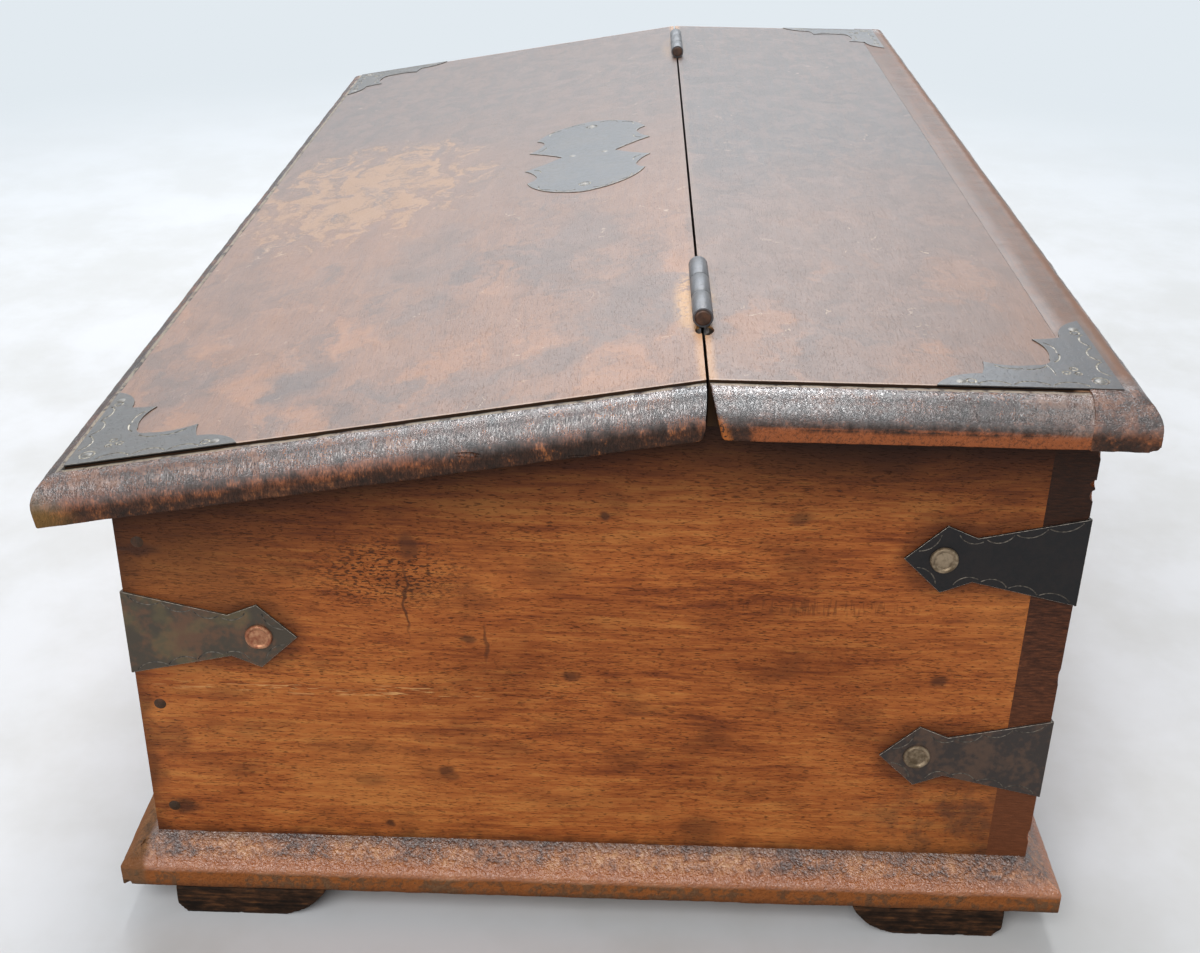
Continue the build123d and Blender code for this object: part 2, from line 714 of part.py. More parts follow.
straps = []
for name, (end_arm, side_arm) in strap_planes.items():
    with BuildPart() as strap_right:
        add([strap_arm(end_arm), strap_arm(side_arm)])
        add(rivet_holes, mode=Mode.SUBTRACT)
    with BuildPart() as strap_left:
        mirror(strap_right.part, about=Plane.YZ)
    strap_right.part.label = "strap_" + name + "_right"
    strap_left.part.label = "strap_" + name + "_left"
    straps += [strap_right, strap_left]

# ---- Fasteners ----

rivets = [fastener(seat, rivet_head, rivet_dome, rivet_shank, rivet_length) for seat in rivet_seats]
nails = [fastener(seat, nail_head, nail_dome, nail_shank, nail_length) for seat in nail_seats]


def brads(seats, length=brad_length):
    """Small domed brads in a list of seats."""
    return [fastener(seat, brad_head, brad_dome, brad_shank, length) for seat in seats]


with BuildPart() as strap_rivets:
    add(rivets)
    mirror(about=Plane.YZ)
strap_rivets.part.label = "strap_rivets"

with BuildPart() as carcass_nails:
    add(nails)
    mirror(about=Plane.YZ)
carcass_nails.part.label = "carcass_nails"

with BuildPart() as lid_brads:
    add(brads(lid_plate_seats + lid_leaf_seats))
    mirror(about=Plane.YZ)
    add(brads(centre_plate_seats))
lid_brads.part.label = "lid_brads"

with BuildPart() as box_brads:
    add(brads(top_plate_seats + top_leaf_seats))
    mirror(about=Plane.YZ)
    add(brads(lock_seats))
    add(brads(escutcheon_seats, wall - lock_depth + sheet))
box_brads.part.label = "box_brads"

# ---- Lock ----

with BuildPart() as escutcheon:
    with BuildSketch(keyhole_plane):
        with BuildLine():
            ThreePointArc((0, escutcheon_half_height), escutcheon_bulge, (escutcheon_half_width, 0))
            mirror(about=Plane.XZ)
            mirror(about=Plane.YZ)
        make_face()
    extrude(amount=sheet)
    add([keyhole.part, escutcheon_holes], mode=Mode.SUBTRACT)
escutcheon.part.label = "escutcheon"

with BuildPart() as lock_case:
    with BuildSketch(Plane.XZ.offset(-inner_front)):
        with Locations((0, lock_bottom)):
            Rectangle(lock_length, lock_height, align=(Align.CENTER, Align.MIN))
    extrude(amount=lock_depth)
    with BuildSketch(lock_plate_plane):
        Rectangle(lock_length + 2 * lock_plate_margin, lock_height)
    extrude(amount=lock_plate)
    with BuildSketch(bolt_section):
        Rectangle(bolt_thickness + 2 * bolt_slack, bolt_height + 2 * bolt_slack)
    extrude(amount=-(bolt_length + bolt_slack), mode=Mode.SUBTRACT)
    with BuildSketch(bolt_section):
        Rectangle(bolt_thickness + 2 * bolt_slack, bolt_height + 2 * bolt_slack)
    extrude(amount=bolt_travel + bolt_slack, mode=Mode.SUBTRACT)
    with BuildSketch(Plane.XY.offset(lock_top)):
        with Locations((0, strike_y)):
            Rectangle(staple_thickness + 2 * staple_slack, slot_ahead + slot_behind)
    extrude(amount=-(staple_depth + staple_slack), mode=Mode.SUBTRACT)
    add([keyhole.part, lock_holes], mode=Mode.SUBTRACT)
lock_case.part.label = "lock_case"

with BuildPart() as lock_bolt:
    with BuildSketch(bolt_section):
        Rectangle(bolt_thickness, bolt_height)
    extrude(amount=-bolt_length)
lock_bolt.part.label = "lock_bolt"

with BuildPart() as lid_strike:
    with BuildSketch(strike_plane):
        Rectangle(strike_length, strike_width)
    extrude(amount=-strike_plate)
    with BuildSketch(strike_plane):
        Rectangle(staple_thickness, staple_width)
    extrude(amount=staple_depth)
    with BuildSketch(Plane(origin=eye_centre, x_dir=strike_plane.y_dir, z_dir=(1, 0, 0))):
        Rectangle(staple_width - 2 * staple_bar, eye_height)
    extrude(amount=staple_thickness, both=True, mode=Mode.SUBTRACT)
lid_strike.part.label = "lid_strike"

# ---- Till: shelf, dividers and two drawers under it ----

till_front = joint_y + till_setback
till_length = inner_back - till_front
till_middle = (inner_back + till_front) / 2
shelf_bottom = floor_height + bay_height
shelf_top = shelf_bottom + shelf_thickness
upper_spacing = (2 * inner_end - 2 * divider) / 3 + divider

with BuildPart() as till_shelf:
    with BuildSketch(Plane.XY.offset(shelf_bottom)):
        with Locations((0, till_middle)):
            Rectangle(2 * inner_end, till_length)
    extrude(amount=shelf_thickness)
till_shelf.part.label = "till_shelf"

with BuildPart() as till_divider_right:
    with BuildSketch(Plane.XY.offset(shelf_top)):
        with Locations((upper_spacing / 2, till_middle)):
            Rectangle(divider, till_length)
    extrude(amount=top_underside - shelf_top)
till_divider_right.part.label = "till_divider_right"

with BuildPart() as till_divider_left:
    mirror(till_divider_right.part, about=Plane.YZ)
till_divider_left.part.label = "till_divider_left"

with BuildPart() as till_divider_lower:
    with BuildSketch(Plane.XY.offset(floor_height)):
        with Locations((0, till_middle)):
            Rectangle(divider, till_length)
    extrude(amount=bay_height)
till_divider_lower.part.label = "till_divider_lower"

drawer_inner_x = divider / 2 + drawer_side_gap
drawer_outer_x = inner_end - drawer_side_gap
drawer_width = drawer_outer_x - drawer_inner_x
drawer_middle = (drawer_outer_x + drawer_inner_x) / 2
drawer_z = floor_height + drawer_lift
drawer_height = bay_height - drawer_lift - drawer_top_gap
knob_z = drawer_z + drawer_height / 2


def drawer_board(x, y, width, depth, height, z=drawer_z):
    """An upright or flat board of a drawer, from its middle x and its front y."""
    with BuildPart() as board:
        with BuildSketch(Plane.XY.offset(z)):
            with Locations((x, y)):
                Rectangle(width, depth, align=(Align.CENTER, Align.MIN))
        extrude(amount=height)
    return board.part


side_y = till_front + drawer_front
side_x = (drawer_width - drawer_side) / 2
box_depth = drawer_depth - drawer_front
knob_axis = Axis((drawer_middle, till_front, knob_z), (0, -1, 0))

with BuildPart() as drawer_right_front:
    add(drawer_board(drawer_middle, till_front, drawer_width, drawer_front, drawer_height))
    with BuildSketch(Plane(origin=knob_axis.position, x_dir=(1, 0, 0), z_dir=(0, 1, 0))):
        Circle(knob_tenon)
    extrude(amount=drawer_front, mode=Mode.SUBTRACT)

with BuildPart() as drawer_right_sides:
    for x in (drawer_middle - side_x, drawer_middle + side_x):
        add(drawer_board(x, side_y, drawer_side, box_depth, drawer_height))

with BuildPart() as drawer_right_back:
    add(drawer_board(drawer_middle, side_y + box_depth - drawer_side, drawer_width - 2 * drawer_side,
                     drawer_side, drawer_height))

with BuildPart() as drawer_right_bottom:
    add(drawer_board(drawer_middle, side_y, drawer_width - 2 * drawer_side, box_depth - drawer_side,
                     drawer_bottom))

with BuildPart() as drawer_right_knob:
    with BuildSketch(Plane(origin=knob_axis.position, x_dir=(1, 0, 0), z_dir=(0, 0, 1))):
        with BuildLine():
            Polyline(
                (0, -knob_reach), (0, drawer_front), (knob_tenon, drawer_front), (knob_tenon, 0),
                (knob_neck, 0), (knob_neck, -knob_neck_length))
            Spline(
                (knob_neck, -knob_neck_length), (knob_radius, -knob_widest_at), (0, -knob_reach),
                tangents=((1, -0.2), (-1, 0)))
        make_face()
    revolve(axis=knob_axis)

drawer_pieces = {
    "front": drawer_right_front,
    "sides": drawer_right_sides,
    "back": drawer_right_back,
    "bottom": drawer_right_bottom,
    "knob": drawer_right_knob,
}
drawer_parts = []
for name, right_piece in drawer_pieces.items():
    with BuildPart() as left_piece:
        mirror(right_piece.part, about=Plane.YZ)
    right_piece.part.label = "drawer_right_" + name
    left_piece.part.label = "drawer_left_" + name
    drawer_parts += [right_piece, left_piece]

# ---- Write one file for each piece ----

pieces = [
    end_board_right, end_board_left, front_board, back_board, bottom_board,
    plinth_right, plinth_left, plinth_front, plinth_back,
    foot_front_right, foot_front_left, foot_back_right, foot_back_left,
    fixed_top_board, fixed_top_moulding_right, fixed_top_moulding_left, fixed_top_moulding_back,
    lid_board, lid_moulding_right, lid_moulding_left, lid_moulding_front,
    hinge_leaf_lid_right, hinge_leaf_lid_left, hinge_leaf_top_right, hinge_leaf_top_left, hinge_pins,
    lid_corner_plate_right, lid_corner_plate_left, top_corner_plate_right, top_corner_plate_left,
    lid_centre_plate, strap_rivets, carcass_nails, lid_brads, box_brads,
    escutcheon, lock_case, lock_bolt, lid_strike,
    till_shelf, till_divider_right, till_divider_left, till_divider_lower,
]

os.makedirs("parts", exist_ok=True)
for piece in pieces + straps + drawer_parts:
    export_step(piece.part, "parts/" + piece.part.label + ".step")
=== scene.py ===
import bmesh
import bpy
from math import asin, cos, pi, radians, sin, tan
from mathutils import Matrix, Vector


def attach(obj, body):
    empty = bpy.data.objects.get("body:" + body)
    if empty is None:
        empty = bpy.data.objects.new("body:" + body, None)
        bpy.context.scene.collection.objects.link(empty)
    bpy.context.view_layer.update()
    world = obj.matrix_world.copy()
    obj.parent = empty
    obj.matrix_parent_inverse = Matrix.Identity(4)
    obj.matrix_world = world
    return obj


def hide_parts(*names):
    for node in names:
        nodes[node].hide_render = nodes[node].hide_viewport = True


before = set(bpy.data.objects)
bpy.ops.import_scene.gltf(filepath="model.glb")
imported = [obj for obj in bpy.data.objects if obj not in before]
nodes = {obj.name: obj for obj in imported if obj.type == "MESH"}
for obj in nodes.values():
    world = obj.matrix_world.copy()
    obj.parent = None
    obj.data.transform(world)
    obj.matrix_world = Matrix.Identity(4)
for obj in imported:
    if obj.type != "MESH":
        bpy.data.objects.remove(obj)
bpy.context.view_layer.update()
mm = 0.001
print("frame loaded:", len(nodes), "nodes")

# Places shared by several pieces, in mm
box = {
    "endFace": 295.0,
    "frontFace": -161.0,
    "backFace": 169.0,
    "jointY": 39.0,
    "jointGap": 1.0,
    "topZ": 224.0,
    "slope": 10.0,          # degrees
    "panelEnd": 297.5,
    "endEdge": 308.5,
    "panelBack": 160.5,
    "thickness": 16.5,
    "lidPanel": 215.66,     # joint line to the front moulding, down the slope
    "plateBack": 171.5,
}
strapCorners = {      # the face that the side arm lies on, the way inwards along the end, and the height
    "front": (box["frontFace"], 1, 120.0),
    "back_low": (box["backFace"], -1, 76.0),
    "back_high": (box["backFace"], -1, 159.0),
}
lidSlope = radians(box["slope"])
lidTilt = (Matrix.Translation((0, box["jointY"] * mm, box["topZ"] * mm))
           @ Matrix.Rotation(lidSlope, 4, "X"))
topLevel = Matrix.Translation((0, 0, box["topZ"] * mm))
mirrored = Matrix.Scale(-1, 4, (1, 0, 0))
hands = ("right", "left")
jointAt = box["jointY"] * mm      # in metres, for the finishes
topAt = box["topZ"] * mm
fall = tan(lidSlope)      # how far the lid drops for each metre forwards


def tone(code):      # a colour as it is written, such as "8a5230", to a linear one
    parts = [int(code[i:i + 2], 16) / 255 for i in (0, 2, 4)]
    linear = [c / 12.92 if c <= 0.04045 else ((c + 0.055) / 1.055) ** 2.4 for c in parts]
    return (*linear, 1.0)


# Shader maths: a wire is one output, and an expression on wires adds the nodes
class Wire:
    def __init__(self, sheet, socket):
        self.sheet = sheet
        self.socket = socket

    def join(self, operation, first, second):
        wires = [w for w in (first, second) if isinstance(w, Wire)]
        triples = [w for w in (first, second) if isinstance(w, tuple)]
        if triples or any(w.socket.type != "VALUE" for w in wires):
            pair = [(w,) * 3 if isinstance(w, (int, float)) else w for w in (first, second)]
            return self.sheet.node("ShaderNodeVectorMath", {"operation": operation}, dict(enumerate(pair)))
        return self.sheet.node("ShaderNodeMath", {"operation": operation}, {0: first, 1: second})

    def __add__(self, other):
        return self.join("ADD", self, other)

    def __sub__(self, other):
        return self.join("SUBTRACT", self, other)

    def __rsub__(self, other):
        return self.join("SUBTRACT", other, self)

    def __mul__(self, other):
        return self.join("MULTIPLY", self, other)

    __radd__ = __add__
    __rmul__ = __mul__


class Sheet:      # a sheet of nodes, for a finish or for the sky
    def __init__(self, tree):
        self.tree = tree

    def feed(self, made, sockets):
        for name, value in sockets.items():
            if isinstance(value, Wire):
                self.tree.links.new(value.socket, made.inputs[name])
            else:
                made.inputs[name].default_value = value

    def node(self, kind, settings=None, sockets=None, give=0):
        made = self.tree.nodes.new(kind)
        for name, value in (settings or {}).items():
            if name == "stops":
                ramp = made.color_ramp
                while len(ramp.elements) < len(value):
                    ramp.elements.new(0.5)
                for element, (position, colour) in zip(ramp.elements, value):
                    element.position = position
                    element.color = colour
            else:
                setattr(made, name, value)
        self.feed(made, sockets or {})
        if isinstance(give, tuple):
            return [Wire(self, made.outputs[g]) for g in give]
        return Wire(self, made.outputs[give])

    def most(self, first, second):
        return self.node("ShaderNodeMath", {"operation": "MAXIMUM"}, {0: first, 1: second})

    def least(self, first, second):
        return self.node("ShaderNodeMath", {"operation": "MINIMUM"}, {0: first, 1: second})

    def mixShader(self, share, first, second):
        return self.node("ShaderNodeMixShader", None, {0: share, 1: first, 2: second})

    def rays(self, *kinds):      # 1 for the kinds of light path that are named
        share, *others = self.node("ShaderNodeLightPath", give=kinds)
        for other in others:
            share = self.most(share, other)
        return share

    def show(self, shader, output="Material Output"):
        self.tree.links.new(shader.socket, self.tree.nodes[output].inputs["Surface"])


class Finish(Sheet):
    def __init__(self, name):
        self.material = bpy.data.materials.new(name)
        self.material.use_nodes = True
        super().__init__(self.material.node_tree)
        self.shader = self.tree.nodes["Principled BSDF"]
        self.at = self.node("ShaderNodeTexCoord", give="Object")

    def noise(self, at, scale=1.0, detail=2.0, rough=0.5, twist=0.0, give=0):
        return self.node("ShaderNodeTexNoise", None, {
            "Vector": at, "Scale": scale, "Detail": detail, "Roughness": rough, "Distortion": twist}, give)

    def warped(self, scale, detail, rough, reach):      # places pushed about by cloudy noise
        push = self.noise(self.at, scale, detail, rough, give="Color") - (0.5, 0.5, 0.5)
        return self.at + push * reach

    def ease(self, value, low, high):      # 0 below low, 1 above high, and smooth between
        return self.node("ShaderNodeMapRange", {"interpolation_type": "SMOOTHSTEP"},
                         {"Value": value, "From Min": low, "From Max": high})

    def ramp(self, value, tones):
        stops = [(place, tone(code)) for place, code in tones]
        return self.node("ShaderNodeValToRGB", {"stops": stops}, {"Fac": value})

    def mix(self, share, first, second, way="MIX"):
        return self.node("ShaderNodeMix", {"data_type": "RGBA", "blend_type": way},
                         {0: share, 6: first, 7: second}, give=2)

    def size(self, value):
        return self.node("ShaderNodeMath", {"operation": "ABSOLUTE"}, {0: value})

    def facing(self):      # the surface's own direction
        return self.axes(self.node("ShaderNodeTexCoord", give="Normal"))

    def axes(self, at=None):
        return self.node("ShaderNodeSeparateXYZ", None, {0: at or self.at}, give=(0, 1, 2))

    def spot(self, at, middle, reach, soft=0.5):      # 1 inside an ellipsoid, 0 outside, in mm
        away = self.node("ShaderNodeVectorMath", {"operation": "LENGTH"}, {
            0: (at - tuple(m * mm for m in middle)) * tuple(1 / (r * mm) for r in reach)}, give="Value")
        return 1 - self.ease(away, 1 - soft, 1 + soft)

    def bump(self, height, depth):
        return self.node("ShaderNodeBump", None, {"Height": height, "Distance": depth * mm, "Strength": 1.0})

    def wear(self, colour, rough, normal=None, matt=None, **even):
        coat = {"Base Color": colour}
        if normal is not None:
            coat["Normal"] = normal
        evenly = {name.replace("_", " "): value for name, value in even.items()}
        self.feed(self.shader, {**coat, "Roughness": rough, **evenly})
        if matt is not None:      # how far the surface has lost its polish
            dull = self.node("ShaderNodeBsdfPrincipled", None, {
                **coat, "Roughness": 0.8, "Specular IOR Level": 0.06})
            self.show(self.mixShader(matt, Wire(self, self.shader.outputs[0]), dull))
        return self.material


def lengthways(run, fine, coarse):      # a pattern's scale: fine across the grain, coarse along it
    return tuple(coarse if axis == run else fine for axis in "XYZ")


def timber(fin, run, tones, seed=(0, 0, 0), bandScale=60, poreDark="2a170e", poreShare=0.65,
           spread=0.14):
    sway = fin.noise(fin.at * lengthways(run, 11, 5), detail=3) - 0.5
    at = fin.at + seed + lengthways(run, 0.012, 0) * sway
    bands = fin.noise(at * lengthways(run, bandScale, 3), detail=3, rough=0.6)
    figure = fin.noise(at * lengthways(run, 170, 46), detail=4, rough=0.6)
    streaks = fin.noise(at * lengthways(run, 560, 26), detail=4, rough=0.66)
    fibres = fin.noise(at * lengthways(run, 2200, 130), detail=3, rough=0.66)
    blend = bands * 0.24 + figure * 0.2 + streaks * 0.3 + fibres * 0.26
    colour = fin.ramp(fin.ease(blend, 0.5 - spread, 0.5 + spread), tones)
    pores = fin.noise(at * lengthways(run, 3200, 380), detail=1)
    crowd = fin.noise(at * lengthways(run, 60, 22), detail=2)
    holes = fin.ease(pores + (crowd - 0.5) * 0.16, 0.62, 0.7)
    colour = fin.mix(holes * poreShare, colour, tone(poreDark))
    return {"bands": bands, "streaks": streaks, "fibres": fibres, "pores": holes, "colour": colour}


print("shader tools ready")


# Modelling tools

def onlyActive(piece):
    bpy.ops.object.select_all(action="DESELECT")
    piece.select_set(True)
    bpy.context.view_layer.objects.active = piece


def settle(piece, matrix=None):      # puts the place into the mesh, with the object left at the origin
    onlyActive(piece)
    if matrix is not None:
        piece.matrix_world = matrix @ piece.matrix_world
    bpy.ops.object.transform_apply(location=True, rotation=True, scale=True)


def block(name, low, high):
    bpy.ops.object.select_all(action="DESELECT")
    middle = [(a + b) / 2 * mm for a, b in zip(low, high)]
    reach = [(b - a) * mm for a, b in zip(low, high)]
    bpy.ops.mesh.primitive_cube_add(size=1, location=middle, scale=reach)
    piece = bpy.context.active_object
    piece.name = name
    settle(piece)
    return piece


def editing(piece, kind):
    onlyActive(piece)
    bpy.ops.object.mode_set(mode="EDIT")
    bpy.ops.mesh.select_mode(type=kind)
    bpy.ops.mesh.select_all(action="DESELECT")
    return bmesh.from_edit_mesh(piece.data)


def done():
    bpy.ops.object.mode_set(mode="OBJECT")


def pickEdges(piece, test):      # test takes an edge's two ends, in mm
    mesh = editing(piece, "EDGE")
    for edge in mesh.edges:
        edge.select_set(bool(test(*[v.co / mm for v in edge.verts])))
    bmesh.update_edit_mesh(piece.data)


def pickFaces(piece, test):      # test takes a face's middle, in mm, and its normal
    mesh = editing(piece, "FACE")
    for face in mesh.faces:
        face.select_set(bool(test(face.calc_center_median() / mm, face.normal)))
    bmesh.update_edit_mesh(piece.data)


def roundEdges(piece, test, width, steps):      # bevels the edges that the test picks
    pickEdges(piece, test)
    bpy.ops.mesh.bevel(offset=width * mm, segments=steps, affect="EDGES")
    done()


def near(a, b, slack=0.02):
    return abs(a - b) < slack


def cutAcross(piece, spots, axis):      # adds loops where planes cross the piece
    editing(piece, "VERT")
    for spot in spots:
        bpy.ops.mesh.select_all(action="SELECT")
        at = [0, 0, 0]
        facing = [0, 0, 0]
        at[axis] = spot * mm
        facing[axis] = 1
        bpy.ops.mesh.bisect(plane_co=at, plane_no=facing)
    done()


def trim(piece, at, facing):      # cuts off what lies beyond a plane and closes the cut
    editing(piece, "VERT")
    bpy.ops.mesh.select_all(action="SELECT")
    bpy.ops.mesh.bisect(plane_co=[v * mm for v in at], plane_no=facing, use_fill=True, clear_outer=True)
    done()


def divide(piece, axis, step):      # cuts the edges that run along one axis into short steps
    def run(a, b):
        along = abs((a - b)[axis])
        return along if along > 0.6 * (a - b).length else 0

    places = [vertex.co / mm for vertex in piece.data.vertices]
    longest = max(run(*[places[v] for v in edge.vertices]) for edge in piece.data.edges)
    parts = max(4, round(longest / step))
    first = max(2, round(parts ** 0.5))
    for cuts, least in ((first - 1, longest / 3), (round(parts / first) - 1, longest / first / 3)):
        pickEdges(piece, lambda a, b: run(a, b) > least)
        bpy.ops.mesh.subdivide(number_cuts=cuts)
        done()


def outwards(piece):
    editing(piece, "FACE")
    bpy.ops.mesh.select_all(action="SELECT")
    bpy.ops.mesh.remove_doubles(threshold=0.002 * mm)
    bpy.ops.mesh.normals_make_consistent(inside=False)
    done()


def apply(piece, kind, **settings):
    onlyActive(piece)
    modifier = piece.modifiers.new(kind.lower(), kind)
    for name, value in settings.items():
        setattr(modifier, name, value)
    bpy.ops.object.modifier_apply(modifier=modifier.name)


def easeEdges(piece, width, steps, sharp, **settings):      # bevels every edge sharper than an angle
    apply(piece, "BEVEL", width=width * mm, segments=steps, limit_method="ANGLE",
          angle_limit=radians(sharp), **settings)


def shifted(x, y, z=0, turn=0):      # a place in mm, turned about the upright by degrees
    return Matrix.Translation((x * mm, y * mm, z * mm)) @ Matrix.Rotation(radians(turn), 4, "Z")


def handed(hand, matrix):      # the left end's pieces mirror the right end's
    return matrix if hand == "right" else mirrored @ matrix


def clouds(name, size, depth=2):
    texture = bpy.data.textures.new(name, "CLOUDS")
    texture.noise_scale = size * mm
    texture.noise_depth = depth
    return texture


def dent(piece, texture, depth):      # moves the surface in and out by the texture
    apply(piece, "DISPLACE", texture=texture, strength=depth * mm, mid_level=0.5,
          texture_coords="LOCAL", direction="NORMAL")


def smooth(piece, angle):
    onlyActive(piece)
    bpy.ops.object.shade_smooth_by_angle(angle=radians(angle))


def copyOf(piece, name):
    made = piece.copy()
    made.data = piece.data.copy()
    made.name = name
    bpy.context.scene.collection.objects.link(made)
    return made


def cadCopy(node):      # a merged copy of a CAD node's mesh
    made = bpy.data.objects.new(node + "_worn", nodes[node].data.copy())
    bpy.context.scene.collection.objects.link(made)
    editing(made, "VERT")
    bpy.ops.mesh.select_all(action="SELECT")
    bpy.ops.mesh.remove_doubles(threshold=0.002 * mm)
    bpy.ops.mesh.customdata_custom_splitnormals_clear()
    bpy.ops.mesh.dissolve_limited(angle_limit=radians(0.5))
    done()
    bpy.ops.object.shade_flat()
    return made


def joined(pieces, name):
    onlyActive(pieces[0])
    for piece in pieces:
        piece.select_set(True)
    if len(pieces) > 1:
        bpy.ops.object.join()
    piece = bpy.context.active_object
    piece.name = name
    return piece


def carve(piece, cutter):
    apply(piece, "BOOLEAN", object=cutter, operation="DIFFERENCE", solver="EXACT")
    bpy.data.objects.remove(cutter)


def dress(piece, coats, body, node):      # the piece takes the node's place
    held = piece.data.materials
    for number, material in enumerate(coats):
        if number < len(held):
            held[number] = material
        else:
            held.append(material)
    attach(piece, body)
    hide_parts(node)


def recoat(finish, *names):      # a CAD node whose shape stays gets its finish
    for name in names:
        for slot in nodes[name].material_slots:
            slot.material = finishes[finish]


print("modelling tools ready")

# Finishes
endLook = {
    "tones": [(0.0, "6a331a"), (0.3, "8d4a21"), (0.6, "a45c2b"), (1.0, "b9763b")],
    "blot": tone("3c2216"),
    "spots": [      # y, z, reach along and up, in mm, and strength
        (-149.5, 42, 5, 3.5, 0.8), (7, 172, 2.2, 1.4, 0.8), (-40, 121, 2.4, 1.5, 0.7), (-4, 106, 3, 2, 0.7),
        (-50, 62, 3, 2, 0.7), (127, 108, 3.4, 2.2, 0.7), (73, 173, 4, 2.4, 0.6), (-72, 37, 2, 1.3, 0.85),
        (-48, 60, 3, 2, 0.5), (45, 38, 8, 6, 0.5), (-78, 57, 6, 3, 0.35), (-153, 154, 6, 2.4, 0.8),
        (-62, 137, 0.5, 14, 0.75), (-34, 119, 0.7, 7, 0.6), (-60, 158, 3, 5, 0.6), (-150, 74, 6, 8, 0.35),
    ],
}


def endSpot(fin, at, across, up, long, high, soft=0.5):      # a spot on the end boards, in mm
    return fin.spot(at, (box["endFace"], across, up), (60, long, high), soft)


def endDirtAndShade(fin, colour, y, z, drift):      # painted shade with some dirt under the overhang, darker at the foot, and dirt towards the edges
    ragged = fin.noise(fin.at, scale=160, detail=3) - 0.5
    boardTop = topAt - box["thickness"] * mm
    drop = fin.least(boardTop, boardTop - (jointAt - y) * fall) - z      # below the sloping top edge
    # painted shade under the overhang of the lid and top, mixed with dirt, a little stronger towards the
    # back
    shade = 1 - fin.ease(drop + (drift - 0.5) * 0.03, 0.0, 0.052)
    back = fin.ease(y, -0.02, 0.11)
    colour = fin.mix(shade * (back * 0.16 + 0.84), colour, tone("2a1308"))
    # a darker painted shadow just below the sloping top edge
    colour = fin.mix((1 - fin.ease(drop, 0.001, 0.014)) * 0.7, colour, tone("1a0a04"))
    # darker at the foot, just above the plinth
    foot = 1 - fin.ease(z + ragged * 0.008, 0.028, 0.036)
    colour = fin.mix(foot * 0.75, colour, tone("2b150b"))
    lowBack = fin.ease(y + (drift - 0.5) * 0.06, 0.105, 0.15)
    lowBack = lowBack * (1 - fin.ease(z + ragged * 0.02, 0.04, 0.075))
    colour = fin.mix(lowBack * 0.5, colour, tone("4a2413"))
    edge = fin.ease(y * -1 + ragged * 0.012, 0.153, 0.161)
    colour = fin.mix(edge * 0.6, colour, tone("2f190e"))
    upper = fin.ease(y * -1, 0.06, 0.15) * fin.ease(z, 0.09, 0.15)
    colour = fin.mix(upper * 0.3, colour, tone("4a2a16"))
    for across, inward, up in strapCorners.values():      # and gathered round the straps
        for along, reach in ((26, 32), (46.5, 15)):
            halo = endSpot(fin, fin.at, across + inward * along, up, reach, 15, 0.26)
            colour = fin.mix(halo * 0.5, colour, tone("3a1c0e"))
    return colour, shade


def endMarks(fin, warped):      # dark spots, a speckled bruise and a split that runs to the front edge
    marks = 0.0
    for across, up, long, high, strength in endLook["spots"]:
        marks = fin.most(endSpot(fin, warped, across, up, long, high) * strength, marks)
    bruise = endSpot(fin, warped, -68, 147, 24, 13, 0.6)
    speckle = fin.ease(fin.noise(fin.at * (420, 460, 1300), detail=3), 0.53, 0.6)
    marks = fin.most(marks, bruise * speckle * 0.9)
    return fin.most(marks, endSpot(fin, fin.at, -157, 154, 6, 0.7, 0.3) * 0.9)


def endBoardFinish():
    fin = Finish("waxed end board")
    grain = timber(fin, "Y", endLook["tones"], bandScale=48)
    x, y, z = fin.axes()
    drift = fin.noise(fin.at * (14, 9, 20), detail=3)
    colour = fin.mix(fin.ease(drift, 0.5, 0.72) * 0.42, grain["colour"], tone("7c3f1c"), "MULTIPLY")
    colour = fin.mix(fin.ease(drift, 0.5, 0.3) * 0.3, colour, tone("bd7a3e"))
    smoky = fin.ease(fin.noise(fin.at * (30, 34, 60), detail=4, rough=0.6), 0.52, 0.7)
    colour = fin.mix(smoky * 0.4, colour, tone("5b3018"))
    colour, shade = endDirtAndShade(fin, colour, y, z, drift)
    nearEnd = fin.ease(x, 0.28, 0.29)      # what follows is on the right end alone
    warped = fin.warped(120, 3, 0.5, (0, 0.006, 0.004))
    marks = endMarks(fin, warped)
    colour = fin.mix(marks * nearEnd, colour, endLook["blot"])
    stain = endSpot(fin, warped, 138, 44, 28, 20, 0.8)
    stain = stain * fin.ease(fin.noise(warped * (60, 90, 60), detail=4, rough=0.7), 0.4, 0.62)
    colour = fin.mix(stain * 0.6 * nearEnd, colour, tone("4c3426"))
    flecks = endSpot(fin, fin.at, -78, 97.5, 66, 2.4) * nearEnd
    flecks = flecks * fin.ease(fin.noise(fin.at * (300, 95, 1300), detail=2), 0.59, 0.65)
    colour = fin.mix(flecks * 0.8, colour, tone("cf9a62"))
    ticks = endSpot(fin, fin.at, 82, 138, 34, 3.2, 0.4) * nearEnd
    ticks = ticks * fin.ease(fin.noise(fin.at * (300, 900, 120), detail=1), 0.5, 0.6)
    colour = fin.mix(ticks * 0.45, colour, tone("5a3018"))
    height = grain["streaks"] * 0.4 + grain["fibres"] * 0.5 - grain["pores"] * 0.6 - marks * 0.8
    return fin.wear(colour, grain["streaks"] * 0.2 + 0.34 + shade * 0.12, fin.bump(height, 0.3),
                    Specular_IOR_Level=0.16)


